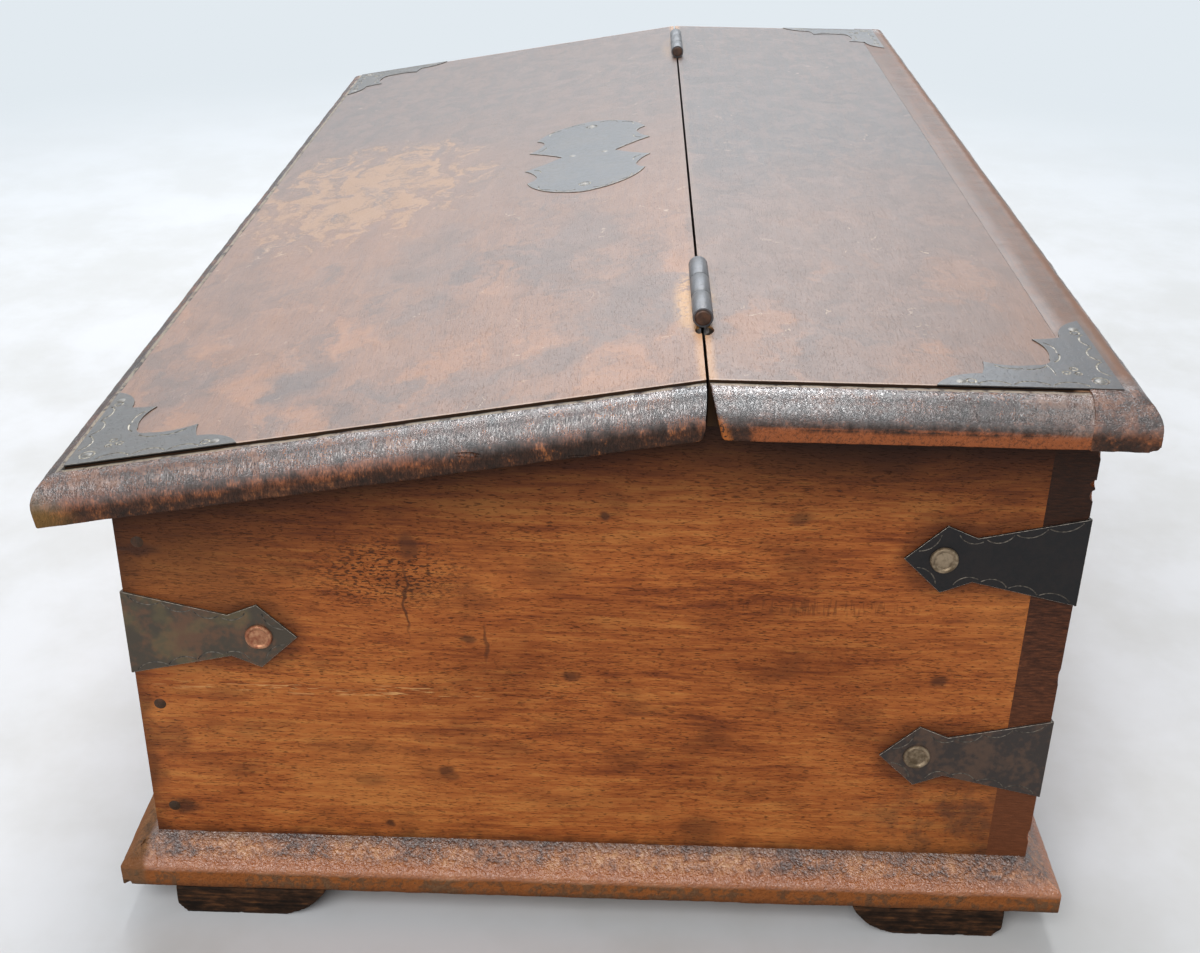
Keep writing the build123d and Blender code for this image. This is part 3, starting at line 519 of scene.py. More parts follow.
def sideBoardFinish():      # front and back boards, with dark end grain where they show at the ends
    fin = Finish("waxed long board")
    grain = timber(fin, "X", endLook["tones"], seed=(0.3, 0.7, 0.2), bandScale=42)
    x, y, z = fin.axes()
    drift = fin.noise(fin.at * (6, 14, 14), detail=3)
    ragged = fin.noise(fin.at, scale=170, detail=3) - 0.5
    colour = fin.mix(fin.ease(drift, 0.5, 0.72) * 0.6, grain["colour"], tone("5a2c15"), "MULTIPLY")
    shade = fin.ease(z + (drift - 0.5) * 0.03, 0.135, 0.172) * fin.ease(y * -1, 0.1, 0.12)
    shade = fin.most(shade, fin.ease(z + (drift - 0.5) * 0.03, 0.17, 0.205))
    colour = fin.mix(shade * 0.7, colour, tone("3d1d0e"))
    colour = fin.mix((1 - fin.ease(z + ragged * 0.008, 0.028, 0.038)) * 0.75, colour, tone("2b150b"))
    openPores = fin.noise(fin.at * (60, 260, 1500), detail=4, rough=0.7)
    ends = fin.ramp(openPores, [(0.3, "2a160e"), (0.5, "4a2a1b"), (0.65, "623823"), (0.8, "7d4c30")])
    high = fin.ease(z + (drift - 0.5) * 0.05, 0.12, 0.18)
    ends = fin.mix(high * 0.75, ends, tone("1b110c"))
    low = fin.ease(z * -1 + drift * 0.04, -0.1, -0.03)
    ends = fin.mix(low * 0.45, ends, tone("7a4527"))
    atEnd = fin.ease(fin.size(x), 0.2943, 0.2949)
    colour = fin.mix(atEnd, colour, ends)
    height = grain["streaks"] * 0.35 + grain["fibres"] * 0.3 - grain["pores"] * 0.5
    height = height * (1 - atEnd) + openPores * atEnd * 1.6
    return fin.wear(colour, grain["streaks"] * 0.16 + 0.36 + atEnd * 0.2, fin.bump(height, 0.25),
                    Specular_IOR_Level=0.16)


mouldLook = {
    "lacquer": [(0.0, "2a1a10"), (0.35, "45291a"), (0.65, "643c26"), (1.0, "8a5a3c")],
    "bare": tone("97522a"),
    "rubbed": tone("8c4a22"),
    "bits": tone("b06a35"),
    "dust": tone("a99b84"),
    # near black, a painted shade for gaps, grooves, joints and hollows
    "gap": tone("15100c"),
}
topLook = {
    "tones": [(0.0, "52300f"), (0.35, "6d401a"), (0.65, "7c4b20"), (1.0, "8e5c2c")],
    "dark": tone("2c2320"),
    "grime": tone("4a342a"),
    "bare": tone("aa8668"),
    "darkSpots": [      # x, y, reach along x and y, in mm, and strength
        (252, -107, 22, 14, 0.75), (262, -12, 16, 14, 0.55), (240, 2, 14, 12, 0.6), (216, 16, 32, 16, 0.62),
        (124, -5, 40, 20, 0.6), (130, -73, 46, 18, 0.5), (-178, -143, 70, 30, 0.6), (276, -37, 12, 26, 0.5),
        (190, -66, 24, 10, 0.55), (250, 78, 30, 34, 0.5), (160, 96, 60, 34, 0.55), (-40, 100, 90, 40, 0.45),
        (224, 56, 30, 12, 0.5), (100, 60, 60, 12, 0.45), (-105, -40, 90, 50, 0.35),
    ],
    "warmSpots": [
        (273, -134, 20, 26, 0.8), (285, -10, 10, 30, 0.6), (280, 50, 12, 9, 0.8), (224, -46, 30, 16, 0.6),
        (243, 60, 30, 10, 0.5), (246, 156, 40, 14, 0.5), (150, -150, 60, 24, 0.4), (270, 110, 12, 24, 0.4),
    ],
}


def topSpot(fin, at, across, deep, long, wide, soft):      # a spot on the tops, in mm
    return fin.spot(at, (across, deep, 0), (long, wide, 1000), soft)


def topShade(fin, x, y, warped, mottle, streaks):      # how far the old surface has darkened
    broad = fin.noise(warped * (9, 17, 0), detail=4, rough=0.6)
    dark = fin.ease(broad * 0.72 + mottle * 0.28, 0.47, 0.62) * 0.62
    aged = fin.ease(x * -1 + (broad - 0.5) * 0.3, -0.2, 0.18) * 0.8 + fin.ease(y, 0.037, 0.041) * 0.5
    dark = fin.most(dark, fin.least(aged * (mottle * 0.4 + 0.8), 0.92))
    for *spot, strength in topLook["darkSpots"]:
        dark = fin.most(dark, topSpot(fin, warped, *spot, 0.55) * strength)
    for *spot, strength in topLook["warmSpots"]:
        dark = dark * (1 - topSpot(fin, warped, *spot, 0.5) * strength)
    speckled = fin.ease(mottle + (streaks - 0.5) * 0.5, 0.35, 0.62)
    return fin.least(dark * (speckled * 0.3 + 0.79), 1.0)


def topScuffs(fin, colour, warped):      # a scuffed pale patch on the lid, and pale specks
    patch = topSpot(fin, warped, 8, -122, 74, 54, 0.55)
    flakes = fin.noise(warped * (52, 92, 0), detail=5, rough=0.6)
    flecks = fin.noise(warped * (170, 270, 0), detail=3, rough=0.6)
    bare = fin.ease(flakes * 0.7 + flecks * 0.3 + patch * 0.12, 0.54, 0.65) * fin.ease(patch, 0.02, 0.25)
    colour = fin.mix(bare * 0.68, colour, topLook["bare"])
    specks = fin.ease(fin.noise(warped * (150, 260, 0), detail=2), 0.67, 0.74)
    specks = specks * fin.ease(fin.noise(fin.at * (14, 14, 0), detail=1), 0.45, 0.62)
    return fin.mix(specks * 0.45, colour, tone("c9ad90")), bare


def topRubbingAndShade(fin, colour, x, y, z, mottle):      # dust and rubbing round the hinges and along the edges, and painted shade in a hollow
    bothSides = fin.node("ShaderNodeCombineXYZ", None, {0: fin.size(x), 1: y, 2: z})
    halo = fin.spot(bothSides, (225, 37, 224), (31, 6.5, 1000), 0.4)
    halo = halo * fin.ease(mottle + fin.noise(fin.at, scale=520, detail=2) * 0.5, 0.6, 0.8)
    halo = halo * (fin.ease(x, -0.1, 0.1) * 0.75 + 0.25)
    colour = fin.mix(halo * 0.85, colour, tone("bf8a45"))
    joint = 1 - fin.ease(fin.size(y - jointAt) + (mottle - 0.5) * 0.004, 0.0012, 0.004)
    bright = fin.ease(fin.size(x) + (mottle - 0.5) * 0.1, 0.2, 0.26)      # rubbed bare towards the ends
    colour = fin.mix(joint * (bright * 0.3 + 0.35), colour, fin.mix(bright, tone("6b4a33"), tone("b9803f")))
    depth = topAt - z - fin.most(jointAt - y, 0) * fall
    hollow = fin.spot(fin.at, (254.8, 39.5, 223), (9, 6, 9), 0.3) * fin.ease(depth, 0.0003, 0.001)
    colour = fin.mix(hollow * 0.95, colour, mouldLook["gap"])      # painted shade in the hollow broken out in front of the hinge
    bands = fin.ease(fin.size(x), 0.2962, 0.297)      # beside the end mouldings
    return fin.mix(bands * 0.4, colour, tone("c9a184"))


def topFinish():
    fin = Finish("weathered top board")
    grain = timber(fin, "X", topLook["tones"], seed=(0.1, 0.4, 0.9), bandScale=34, poreShare=0.22,
                   spread=0.3)
    x, y, z = fin.axes()
    faceX, faceY, faceZ = fin.facing()
    warped = fin.warped(34, 5, 0.62, (0.07, 0.05, 0))
    mottle = fin.noise(warped * (60, 85, 0), detail=5, rough=0.68)
    dark = topShade(fin, x, y, warped, mottle, grain["streaks"])
    colour = fin.mix(dark, grain["colour"], fin.mix(mottle, topLook["dark"], topLook["grime"]))
    warm = fin.ease(fin.noise(warped * (22, 40, 0) + (3, 1, 0), detail=4, rough=0.62), 0.5, 0.66)
    colour = fin.mix(warm * fin.ease(x, 0.06, 0.22) * (1 - dark) * 0.55, colour, tone("9c5f26"))
    colour, bare = topScuffs(fin, colour, warped)
    colour = topRubbingAndShade(fin, colour, x, y, z, mottle)
    below = fin.ease(faceZ * -1, 0.4, 0.7)      # the undersides are plain and dry
    dry = fin.ramp(fin.ease(grain["streaks"] * 0.4 + grain["bands"] * 0.35 + mottle * 0.25, 0.38, 0.62), [
        (0.0, "6f4829"), (0.45, "8f623b"), (0.75, "a3764a"), (1.0, "b48a5e")])
    colour = fin.mix(below, colour, fin.mix(grain["pores"] * 0.5, dry, tone("4c2f1c")))
    side = fin.ease(fin.size(x), 0.2972, 0.2974) * fin.ease(fin.size(faceX), 0.5, 0.8)
    side = side * (1 - fin.ease(y, 0.155, 0.158))
    seam = (1 - fin.ease(fin.size(y - jointAt), 0.0008, 0.0016)) * fin.ease(fin.size(faceY), 0.6, 0.8)
    jointShade = fin.most(side, seam)      # painted shade on the edges inside the joints
    colour = fin.mix(jointShade * 0.9, colour, mouldLook["gap"])
    height = grain["fibres"] * 0.25 + grain["streaks"] * 0.2 - grain["pores"] * 0.25 + bare * -0.3
    height = height + fin.noise(fin.at, scale=900, detail=2) * 0.25
    return fin.wear(colour, mottle * 0.2 + 0.36 + bare * 0.15, fin.bump(height, 0.2),
                    matt=fin.most(jointShade, below * 0.8), Specular_IOR_Level=1.0)


def lacquer(fin, run, seed, wrinkles):      # the patterns that all the bars share, and their base colour
    seeded = fin.at + seed
    wrinkle = fin.noise(seeded * lengthways(run, *wrinkles), detail=3, rough=0.6, twist=0.8)
    lumps = fin.noise(seeded * lengthways(run, 170, 210), detail=5, rough=0.62)
    broad = fin.noise(seeded * lengthways(run, 60, 16), detail=4, rough=0.62)
    streaks = fin.noise(seeded * lengthways(run, 700, 24), detail=4, rough=0.6)
    grit = fin.noise(seeded, scale=900, detail=3, rough=0.65)
    blend = broad * 0.35 + streaks * 0.1 + lumps * 0.3 + grit * 0.15 + wrinkle * 0.1
    return wrinkle, lumps, broad, streaks, grit, fin.ramp(fin.ease(blend, 0.4, 0.62), mouldLook["lacquer"])


def wornStart(fin, colour, y, z, rise, lumps, grit):      # a top bar's worn lower edge, and its dust
    start = (y - 0.0395) - (topAt - z) * 0.287
    worn = 1 - fin.ease(start + (lumps - 0.5) * 0.006, 0.0008, 0.0042)
    worn = worn * (1 - fin.ease(rise + (lumps - 0.5) * 0.006, 0.006, 0.0095)) * fin.ease(grit, 0.35, 0.5)
    colour = fin.mix(worn * 0.85, colour, tone("b5672c"))
    dusty = fin.ease(y + (lumps - 0.5) * 0.03, 0.125, 0.165) * fin.ease(grit + lumps, 0.8, 1.1)
    return fin.mix(dusty * fin.ease(rise, 0.003, 0.006) * 0.4, colour, tone("77706a"))


def weatheredFlat(fin, x, y, lumps, streaks):      # the back bar's top, which matches the board before it
    share = fin.ease(fin.facing()[2], 0.78, 0.95)
    share = share * (1 - fin.ease(fin.size(x) + (lumps - 0.5) * 0.02, 0.284, 0.3))
    cloud = fin.noise(fin.at * (26, 70, 0), detail=5, rough=0.62)
    board = fin.ramp(fin.ease(cloud * 0.6 + streaks * 0.2 + lumps * 0.2, 0.34, 0.66), topLook["tones"])
    board = fin.mix(fin.ease(cloud, 0.35, 0.62) * 0.5 + 0.15, board, topLook["dark"])
    line = fin.ease(y + (lumps - 0.5) * 0.002, 0.1725, 0.175) * (1 - fin.ease(y, 0.176, 0.1785))
    return share, fin.mix(line * 0.35, board, tone("8c5527"))


def polishLost(fin, out, x, down, lumps, matt):      # where handling has left less of the gloss
    if out == "end":      # glossier near the joint
        matt = fin.most(matt, fin.ease(down + (lumps - 0.5) * 0.08, 0.07, 0.19) * 0.42)
        matt = fin.most(matt, fin.ease(down * -1 + (lumps - 0.5) * 0.04, 0.03, 0.09) * 0.45)
        return fin.most(matt, fin.ease(x * -1, 0.2, 0.25) * 0.5)
    if out == "front":
        return fin.most(matt, 0.55)
    return fin.most(matt, fin.ease(fin.size(x) + (lumps - 0.5) * 0.004, 0.295, 0.299) * 0.5)


def mouldingFinish(name, run, seed, tilt, out, redness, bareness, gloss, wrinkles=(560, 1900)):
    fin = Finish(name)
    x, y, z = fin.axes()
    down = (jointAt - y) * cos(tilt) + (topAt - z) * sin(tilt)      # down the slope from the joint
    above = (jointAt - y) * sin(tilt) + (z - topAt) * cos(tilt)
    rise = above + box["thickness"] * mm      # above the bar's own underside
    away = {      # from the board's edge
        "end": fin.size(x) - box["panelEnd"] * mm,
        "front": down - box["lidPanel"] * mm,
        "back": y - box["panelBack"] * mm,
    }[out]
    wrinkle, lumps, broad, streaks, grit, colour = lacquer(fin, run, seed, wrinkles)
    rubbed = fin.ease(lumps * 0.3 + broad * 0.5 + wrinkle * 0.2, 0.45, 0.58)
    rubbed = rubbed * (1 - fin.ease(rise, 0.008, 0.0122))
    rubbed = rubbed * fin.ease(rise + (lumps - 0.5) * 0.006, 0.0025, 0.0065) * fin.ease(wrinkle, 0.3, 0.5)
    colour = fin.mix(rubbed * redness, colour, mouldLook["rubbed"])
    bits = fin.ease(wrinkle * 0.4 + grit * 0.2 + lumps * 0.4, 0.55, 0.62)
    bits = bits * (1 - fin.ease(rise, 0.0075, 0.0105))
    colour = fin.mix(bits * redness * 0.8, colour, mouldLook["bits"])
    under = 1 - fin.ease(rise + (broad - 0.5) * 0.006, 0.002, 0.007)
    colour = fin.mix(under * 0.35, colour, tone("1c0f08"))
    low = 1 - fin.ease(rise + (broad - 0.5) * 0.004 + (grit - 0.5) * 0.002, 0.0046, 0.0056)
    low = low * fin.ease(streaks * 0.4 + lumps * 0.4 + broad * 0.2 + bareness, 0.58, 0.72)
    if bareness > 0.1:      # the flat below stays dark near the joint
        low = fin.most(low, 1 - fin.ease(rise + (grit - 0.5) * 0.002, 0.003, 0.005))
        low = low * fin.ease(down * -1 + (lumps - 0.5) * 0.01, 0.013, 0.017)
    colour = fin.mix(low * (fin.ease(grit, 0.35, 0.5) * 0.5 + 0.45), colour, mouldLook["bare"])
    grooved = 0.0 if out == "back" else 1.0
    rim = 1 - fin.ease(away + (lumps - 0.5) * 0.001, 0.0022, 0.003)
    rim = fin.ease(rise, 0.0146, 0.0152) * rim * grooved
    colour = fin.mix(rim * fin.ease(lumps, 0.36, 0.5) * 0.65, colour, mouldLook["dust"])
    # painted shade in the groove beside the board's edge
    grooveShade = (1 - fin.ease(away + (lumps - 0.5) * 0.001, 0.0008, 0.0015)) * grooved
    colour = fin.mix(grooveShade * 0.9, colour, mouldLook["gap"])
    jointShade = 1 - fin.ease(fin.size(y - 0.041), 0.004, 0.0055)      # painted shade on the faces inside the joint
    jointShade = fin.ease(fin.size(fin.facing()[1]), 0.8, 0.9) * jointShade
    colour = fin.mix(jointShade * 0.92, colour, mouldLook["gap"])
    if bareness > 0.1:
        colour = wornStart(fin, colour, y, z, rise, lumps, grit)
    if tilt > 0 and out == "end":
        tip = fin.spot(fin.at, (306, -183, 172), (14, 12, 7), 0.6)
        colour = fin.mix(tip * 0.5, colour, tone("8f6c33"))
    crests = 1 - fin.size(wrinkle - 0.5) * 4      # sharp ridges, as on old leather
    height = crests * 0.3 + wrinkle * 0.5 + lumps * 0.6 + grit * 0.1
    flat = 0.0
    if out == "back":
        flat, board = weatheredFlat(fin, x, y, lumps, streaks)
        colour = fin.mix(flat, colour, board)
        height = height * (1 - flat * 0.85)
    shine = fin.ease(rise + (lumps - 0.5) * 0.005, 0.004, 0.0115)
    rough = lumps * 0.24 + 0.385 - shine * gloss + rim * 0.3 + flat * 0.1
    if out == "end":
        rough = rough - (1 - fin.ease(fin.size(down), 0.01, 0.09)) * 0.07
    matt = polishLost(fin, out, x, down, lumps, fin.most(fin.most(1 - shine, grooveShade), jointShade))
    matt = fin.most(matt * 0.9, rim * 0.6 + flat * 0.52)
    return fin.wear(colour, rough, fin.bump(height, 0.6), matt=matt, Specular_IOR_Level=1.0, IOR=1.95)


def plinthFinish():
    fin = Finish("worn plinth")
    y, z = fin.axes()[1:]
    lumps = fin.noise(fin.at, scale=330, detail=4, rough=0.6)
    peel = fin.noise(fin.at, scale=820, detail=3, rough=0.55, twist=0.5)
    broad = fin.noise(fin.at, scale=38, detail=5, rough=0.62)
    colour = fin.ramp(fin.ease(broad * 0.45 + lumps * 0.35 + peel * 0.2, 0.38, 0.62), [
        (0.0, "492b1c"), (0.4, "885229"), (0.75, "ab6d3c"), (1.0, "c08a5a")])
    arris = fin.ease(z + (lumps - 0.5) * 0.003, 0.0195, 0.0215) * (1 - fin.ease(z, 0.0235, 0.0258))
    colour = fin.mix(arris * 0.75, colour, tone("a85e25"))
    face = 1 - fin.ease(z + (broad - 0.5) * 0.003, 0.0195, 0.0215)
    blotch = fin.ease(broad * 0.4 + lumps * 0.45 + peel * 0.15, 0.46, 0.56)
    colour = fin.mix(face * (1 - blotch) * 0.7, colour, tone("965626"))
    colour = fin.mix(face * blotch * 0.75, colour, tone("332821"))
    grimy = 1 - fin.ease(z + (lumps - 0.5) * 0.006, 0.012, 0.017)
    colour = fin.mix(grimy * 0.6, colour, tone("2c2019"))
    inner = fin.ease(z, 0.0272, 0.0297)
    colour = fin.mix(inner * 0.6, colour, tone("2c1a12"))
    grey = fin.ease(y * -1 + (broad - 0.5) * 0.01, 0.1615, 0.165)      # the front strip is greyer
    colour = fin.mix(grey * 0.55, colour, tone("5b4d3a"))
    return fin.wear(colour, peel * 0.2 + 0.2 + face * 0.3, fin.bump(peel * 1.1 + lumps, 0.8),
                    matt=fin.most(face, grey) * 0.9, Specular_IOR_Level=1.0, IOR=1.6)


def footFinish():
    fin = Finish("grimy foot")
    lumps = fin.noise(fin.at * (200, 120, 300), detail=5, rough=0.65)
    fibres = fin.noise(fin.at * (700, 60, 900), detail=3)
    colour = fin.ramp(fin.ease(lumps * 0.6 + fibres * 0.4, 0.36, 0.66), [
        (0.0, "150d08"), (0.5, "2f1f14"), (0.8, "442c1c"), (1.0, "5a3b22")])
    return fin.wear(colour, lumps * 0.3 + 0.5, fin.bump(lumps + fibres * 0.5, 0.5), Specular_IOR_Level=0.1)


def innerFinish(name, run, seed):
    fin = Finish(name)
    tones = [(0.0, "8a5a35"), (0.4, "a5764a"), (0.7, "b98a5b"), (1.0, "c99d6e")]
    grain = timber(fin, run, tones, seed=seed, poreDark="5e3d24", poreShare=0.6, bandScale=50)
    age = fin.noise(fin.at, scale=16, detail=4, rough=0.6)
    colour = fin.mix(fin.ease(age, 0.5, 0.75) * 0.6, grain["colour"], tone("6e472b"))
    height = grain["streaks"] * 0.4 + grain["fibres"] * 0.4 - grain["pores"] * 0.4
    return fin.wear(colour, grain["streaks"] * 0.15 + 0.6, fin.bump(height, 0.2), Specular_IOR_Level=0.3)


def ironFinish(name, dark, brown, share, rough, seed=(0, 0, 0), metal=0.35, shine=0.7):
    fin = Finish(name)
    at = fin.at + seed
    broad = fin.noise(at, scale=55, detail=5, rough=0.62)
    fine = fin.noise(at, scale=420, detail=3)
    pits = fin.ease(fin.noise(at, scale=900, detail=2), 0.6, 0.7)
    colour = fin.mix(fin.ease(broad * 0.6 + fine * 0.4, 0.42, 0.66) * share, tone(dark), tone(brown))
    colour = fin.mix(pits * 0.35, colour, tone("17130f"))
    height = fine * 0.5 + broad * 1.2 - pits * 0.4
    return fin.wear(colour, fine * 0.16 + rough - 0.08, fin.bump(height, 0.14), Metallic=metal,
                    Specular_IOR_Level=shine)


def strapFinish():      # browner at the front corners, nearly black at the upper back ones
    fin = Finish("strap iron")
    y, z = fin.axes()[1:]
    broad = fin.noise(fin.at, scale=60, detail=5, rough=0.64)
    fine = fin.noise(fin.at, scale=420, detail=4)
    rust = fin.ease(broad * 0.65 + fine * 0.35, 0.45, 0.6)
    front = 1 - fin.ease(y, -0.05, 0.0)
    upper = fin.ease(z, 0.11, 0.12) * (1 - front)
    plain = fin.mix(front, tone("37302d"), tone("453d33"))
    plain = fin.mix(upper, plain, tone("141213"))
    worn = fin.mix(front, tone("5c4638"), tone("6b4b37"))
    worn = fin.mix(upper, worn, tone("1f1918"))
    colour = fin.mix(rust * 0.7, plain, worn)
    olive = fin.ease(fin.noise(fin.at + (0.3, 0, 0), scale=80, detail=3), 0.5, 0.65) * front
    colour = fin.mix(olive * 0.35, colour, tone("6b6040"))
    height = fine * 0.5 + broad * 1.4
    return fin.wear(colour, fine * 0.2 + 0.4, fin.bump(height, 0.16), Metallic=0.3, Specular_IOR_Level=0.4)


def engravedFinish(name, dark, light):      # the bright cut of an engraved line or a filed edge; a filed edge's light colour is partly a painted highlight
    fin = Finish(name)
    grit = fin.noise(fin.at, scale=700, detail=3)
    colour = fin.mix(fin.ease(grit, 0.35, 0.65), tone(dark), tone(light))
    return fin.wear(colour, grit * 0.2 + 0.4, fin.bump(grit, 0.05), Metallic=0.4)


def rivetFinish():
    fin = Finish("worn brass")
    y = fin.axes()[1]
    grit = fin.noise(fin.at, scale=620, detail=3, rough=0.6)
    stain = fin.noise(fin.at, scale=150, detail=3)
    copper = 1 - fin.ease(y, -0.05, 0.0)
    metal = fin.mix(copper, tone("9c8971"), tone("bd8c68"))
    dull = fin.mix(copper, tone("5c4c38"), tone("8a4f36"))
    colour = fin.mix(fin.ease(grit * 0.4 + stain * 0.6, 0.4, 0.6) * 0.8, dull, metal)
    return fin.wear(colour, grit * 0.2 + 0.34, fin.bump(grit, 0.08), Metallic=0.6)


finishes = {
    "end": endBoardFinish(),
    "side": sideBoardFinish(),
    "top": topFinish(),
    "lidEndMoulding": mouldingFinish("lacquered lid end moulding", "Y", (0, 0, 0), lidSlope, "end",
                                     redness=0.8, bareness=-0.04, gloss=0.3),
    "topEndMoulding": mouldingFinish("lacquered top end moulding", "Y", (0.2, 0.5, 0), 0, "end",
                                     redness=0.3, bareness=0.2, gloss=0.33, wrinkles=(900, 1000)),
    "lidFrontMoulding": mouldingFinish("lacquered lid front moulding", "X", (0.4, 0.1, 0), lidSlope, "front",
                                       redness=0.7, bareness=0.0, gloss=0.3),
    "topBackMoulding": mouldingFinish("lacquered top back moulding", "X", (0.7, 0.3, 0), 0, "back",
                                      redness=0.25, bareness=0.05, gloss=0.28),
    "plinth": plinthFinish(),
    "foot": footFinish(),
    "innerLong": innerFinish("dry wood along", "X", (0, 0, 0)),
    "innerDeep": innerFinish("dry wood across", "Y", (0.3, 0.2, 0)),
    "plateIron": ironFinish("blackened sheet", "332f30", "4a3f37", 0.65, 0.34, metal=0.0, shine=0.8),
    "strapIron": strapFinish(),
    "hingeIron": ironFinish("rubbed hinge iron", "5f5f63", "4f4740", 0.5, 0.38, (0, 0.4, 0)),
    "pinIron": ironFinish("rusty pin", "3f2d24", "74503a", 0.7, 0.5, (0, 0.7, 0)),
    "lockIron": ironFinish("lock iron", "3a3836", "4a3b30", 0.6, 0.5, (0.1, 0, 0.4)),
    "nailIron": ironFinish("waxed nail", "33200f", "5a3319", 0.8, 0.55, (0, 0, 0.3), metal=0.0, shine=0.3),
    "bradIron": ironFinish("rubbed brad", "6e6a64", "8c8172", 0.5, 0.4, (0, 0.2, 0.3)),
    "plateLine": engravedFinish("engraved line", "706a62", "bfb8aa"),
    "cornerIron": ironFinish("grimy sheet", "3a3632", "4c4239", 0.6, 0.42, (0.2, 0.1, 0), metal=0.0,
                             shine=0.6),
    "strapLine": engravedFinish("worn engraved line", "302b26", "6b6257"),
    # bare filed iron, its colour made lighter as a painted highlight on the sheets' edges and sides
    "filedEdgeAndHighlight": engravedFinish("filed edge", "7a736a", "beb5a8"),
    "brass": rivetFinish(),
}
print("finishes ready:", len(finishes))

# Breaks and worn-off bits: place, then reach along x, y and z, in mm
chips = {
    "back_board": [
        (295.5, 169.3, 189, 2.5, 2.4, 1.6), (295.5, 169.5, 184.5, 3, 1.9, 2.4),
        (295.3, 169.4, 201, 2, 1.5, 3), (295.4, 169.3, 174, 3, 1.1, 3),
        (295.6, 169.4, 112, 2, 0.9, 4), (295.4, 169.3, 40, 2, 1.1, 3),
    ],
    "lid_moulding_right": [(309, -37.5, 200.3, 1.6, 5, 1.3), (309, 1, 200.8, 1.1, 7, 0.8),
                           (308.5, -120, 178.8, 1, 9, 0.8), (309, -66, 188, 0.9, 4, 0.7)],
    "fixed_top_moulding_right": [(309, 41, 214, 1.3, 1.6, 4), (308.6, 95, 207.2, 0.9, 5, 0.7),
                                 (309, 40.2, 209, 1.2, 1.5, 1.6)],
    "fixed_top_moulding_back": [(309.2, 182, 207.5, 2.2, 3.2, 2), (308.8, 171, 207.2, 0.8, 4, 0.6)],
    "fixed_top_board": [(254.8, 40.0, 224.6, 4.8, 3.0, 4.4)],
    "lid_board": [(254.2, 38.2, 224.2, 3.6, 2.1, 3.4)],
    "plinth_right": [(307.2, -172.5, 13, 2.6, 3, 2.6), (306.6, -120, 12.7, 1.2, 8, 0.7),
                     (307, -40, 12.8, 1, 10, 0.6), (307.3, 60, 22.8, 0.8, 7, 0.7),
                     (307.2, -148, 23, 0.8, 4, 0.8)],
    "plinth_front": [(304, -172.7, 20, 4, 1.6, 3), (300, -165, 27, 3, 2, 2.4)],
}


def chip(piece, node, seed):      # breaks its bits off a piece, if it has lost any
    for number, (x, y, z, *reach) in enumerate(chips.get(node, [])):
        bpy.ops.object.select_all(action="DESELECT")
        bpy.ops.mesh.primitive_ico_sphere_add(subdivisions=2, radius=1, location=(x * mm, y * mm, z * mm))
        tool = bpy.context.active_object
        tool.scale = [r * mm for r in reach]
        settle(tool)
        editing(tool, "VERT")
        bpy.ops.mesh.select_all(action="SELECT")
        bpy.ops.transform.vertex_random(offset=min(reach) * 0.2 * mm, seed=seed + number)
        done()
        carve(piece, tool)


# Boards and till keep the shape of their nodes, with eased edges
easing = {"carcass_wood": 0.7, "inner_wood": 0.5, "top_wood": 0.6, "steps": 2, "sharp": 35}


def eased(node, finish, body, slot):
    piece = cadCopy(node)
    easeEdges(piece, easing[slot], easing["steps"], easing["sharp"])
    dress(piece, [finishes[finish]], body, node)
    return piece


for hand in hands:
    eased("end_board_" + hand, "end", "box", "carcass_wood")
for node in ("front_board", "back_board"):
    chip(eased(node, "side", "box", "carcass_wood"), node, seed=5)
eased("bottom_board", "innerLong", "box", "inner_wood")
for node, body in (("fixed_top_board", "box"), ("lid_board", "lid")):
    chip(eased(node, "top", body, "top_wood"), node, seed=31)
eased("till_shelf", "innerLong", "box", "inner_wood")
for part in ("right", "left", "lower"):
    eased("till_divider_" + part, "innerDeep", "box", "inner_wood")
for hand in hands:
    drawer = "drawer_" + hand
    for part in ("front", "back", "bottom"):
        eased(drawer + "_" + part, "innerLong", drawer, "inner_wood")
    eased(drawer + "_sides", "innerDeep", drawer, "inner_wood")
    recoat("innerLong", drawer + "_knob")
print("boards and till ready")

# Mouldings round the lid and the fixed top, built along Y with the panel's edge at x = 0
moulding = {
    "width": 11.0, "drop": 0.8, "flat": 3.0, "face": 5.5, "backWidth": 22.0, "spare": 12.0,
    "roundSteps": 9, "ease": 0.6, "arris": 0.8,
    "undercut": 16.0, "wornEnd": 1.3, "sharpUpTo": 2.0,      # a top bar's start: sharp beside the board
    "jointRound": 2.2, "jointRoundTop": 209.0,      # a lid bar's end is rounded below this height
    "levels": (-4, -8, -12), "shares": (0.3, 0.6, 0.85),      # extra loops, so that the bars can wear
    "step": 1.8, "dents": 0.55, "dentSize": 16.0, "ripples": 0.28, "rippleSize": 4.0, "topWear": 0.8,
}
dentClouds = clouds("broad dents", moulding["dentSize"])
rippleClouds = clouds("small dents", moulding["rippleSize"], 3)


def alongBoth(a, b, **where):      # both ends of an edge lie where the named coordinates say
    return all(near(getattr(end, axis), value) for axis, value in where.items() for end in (a, b))


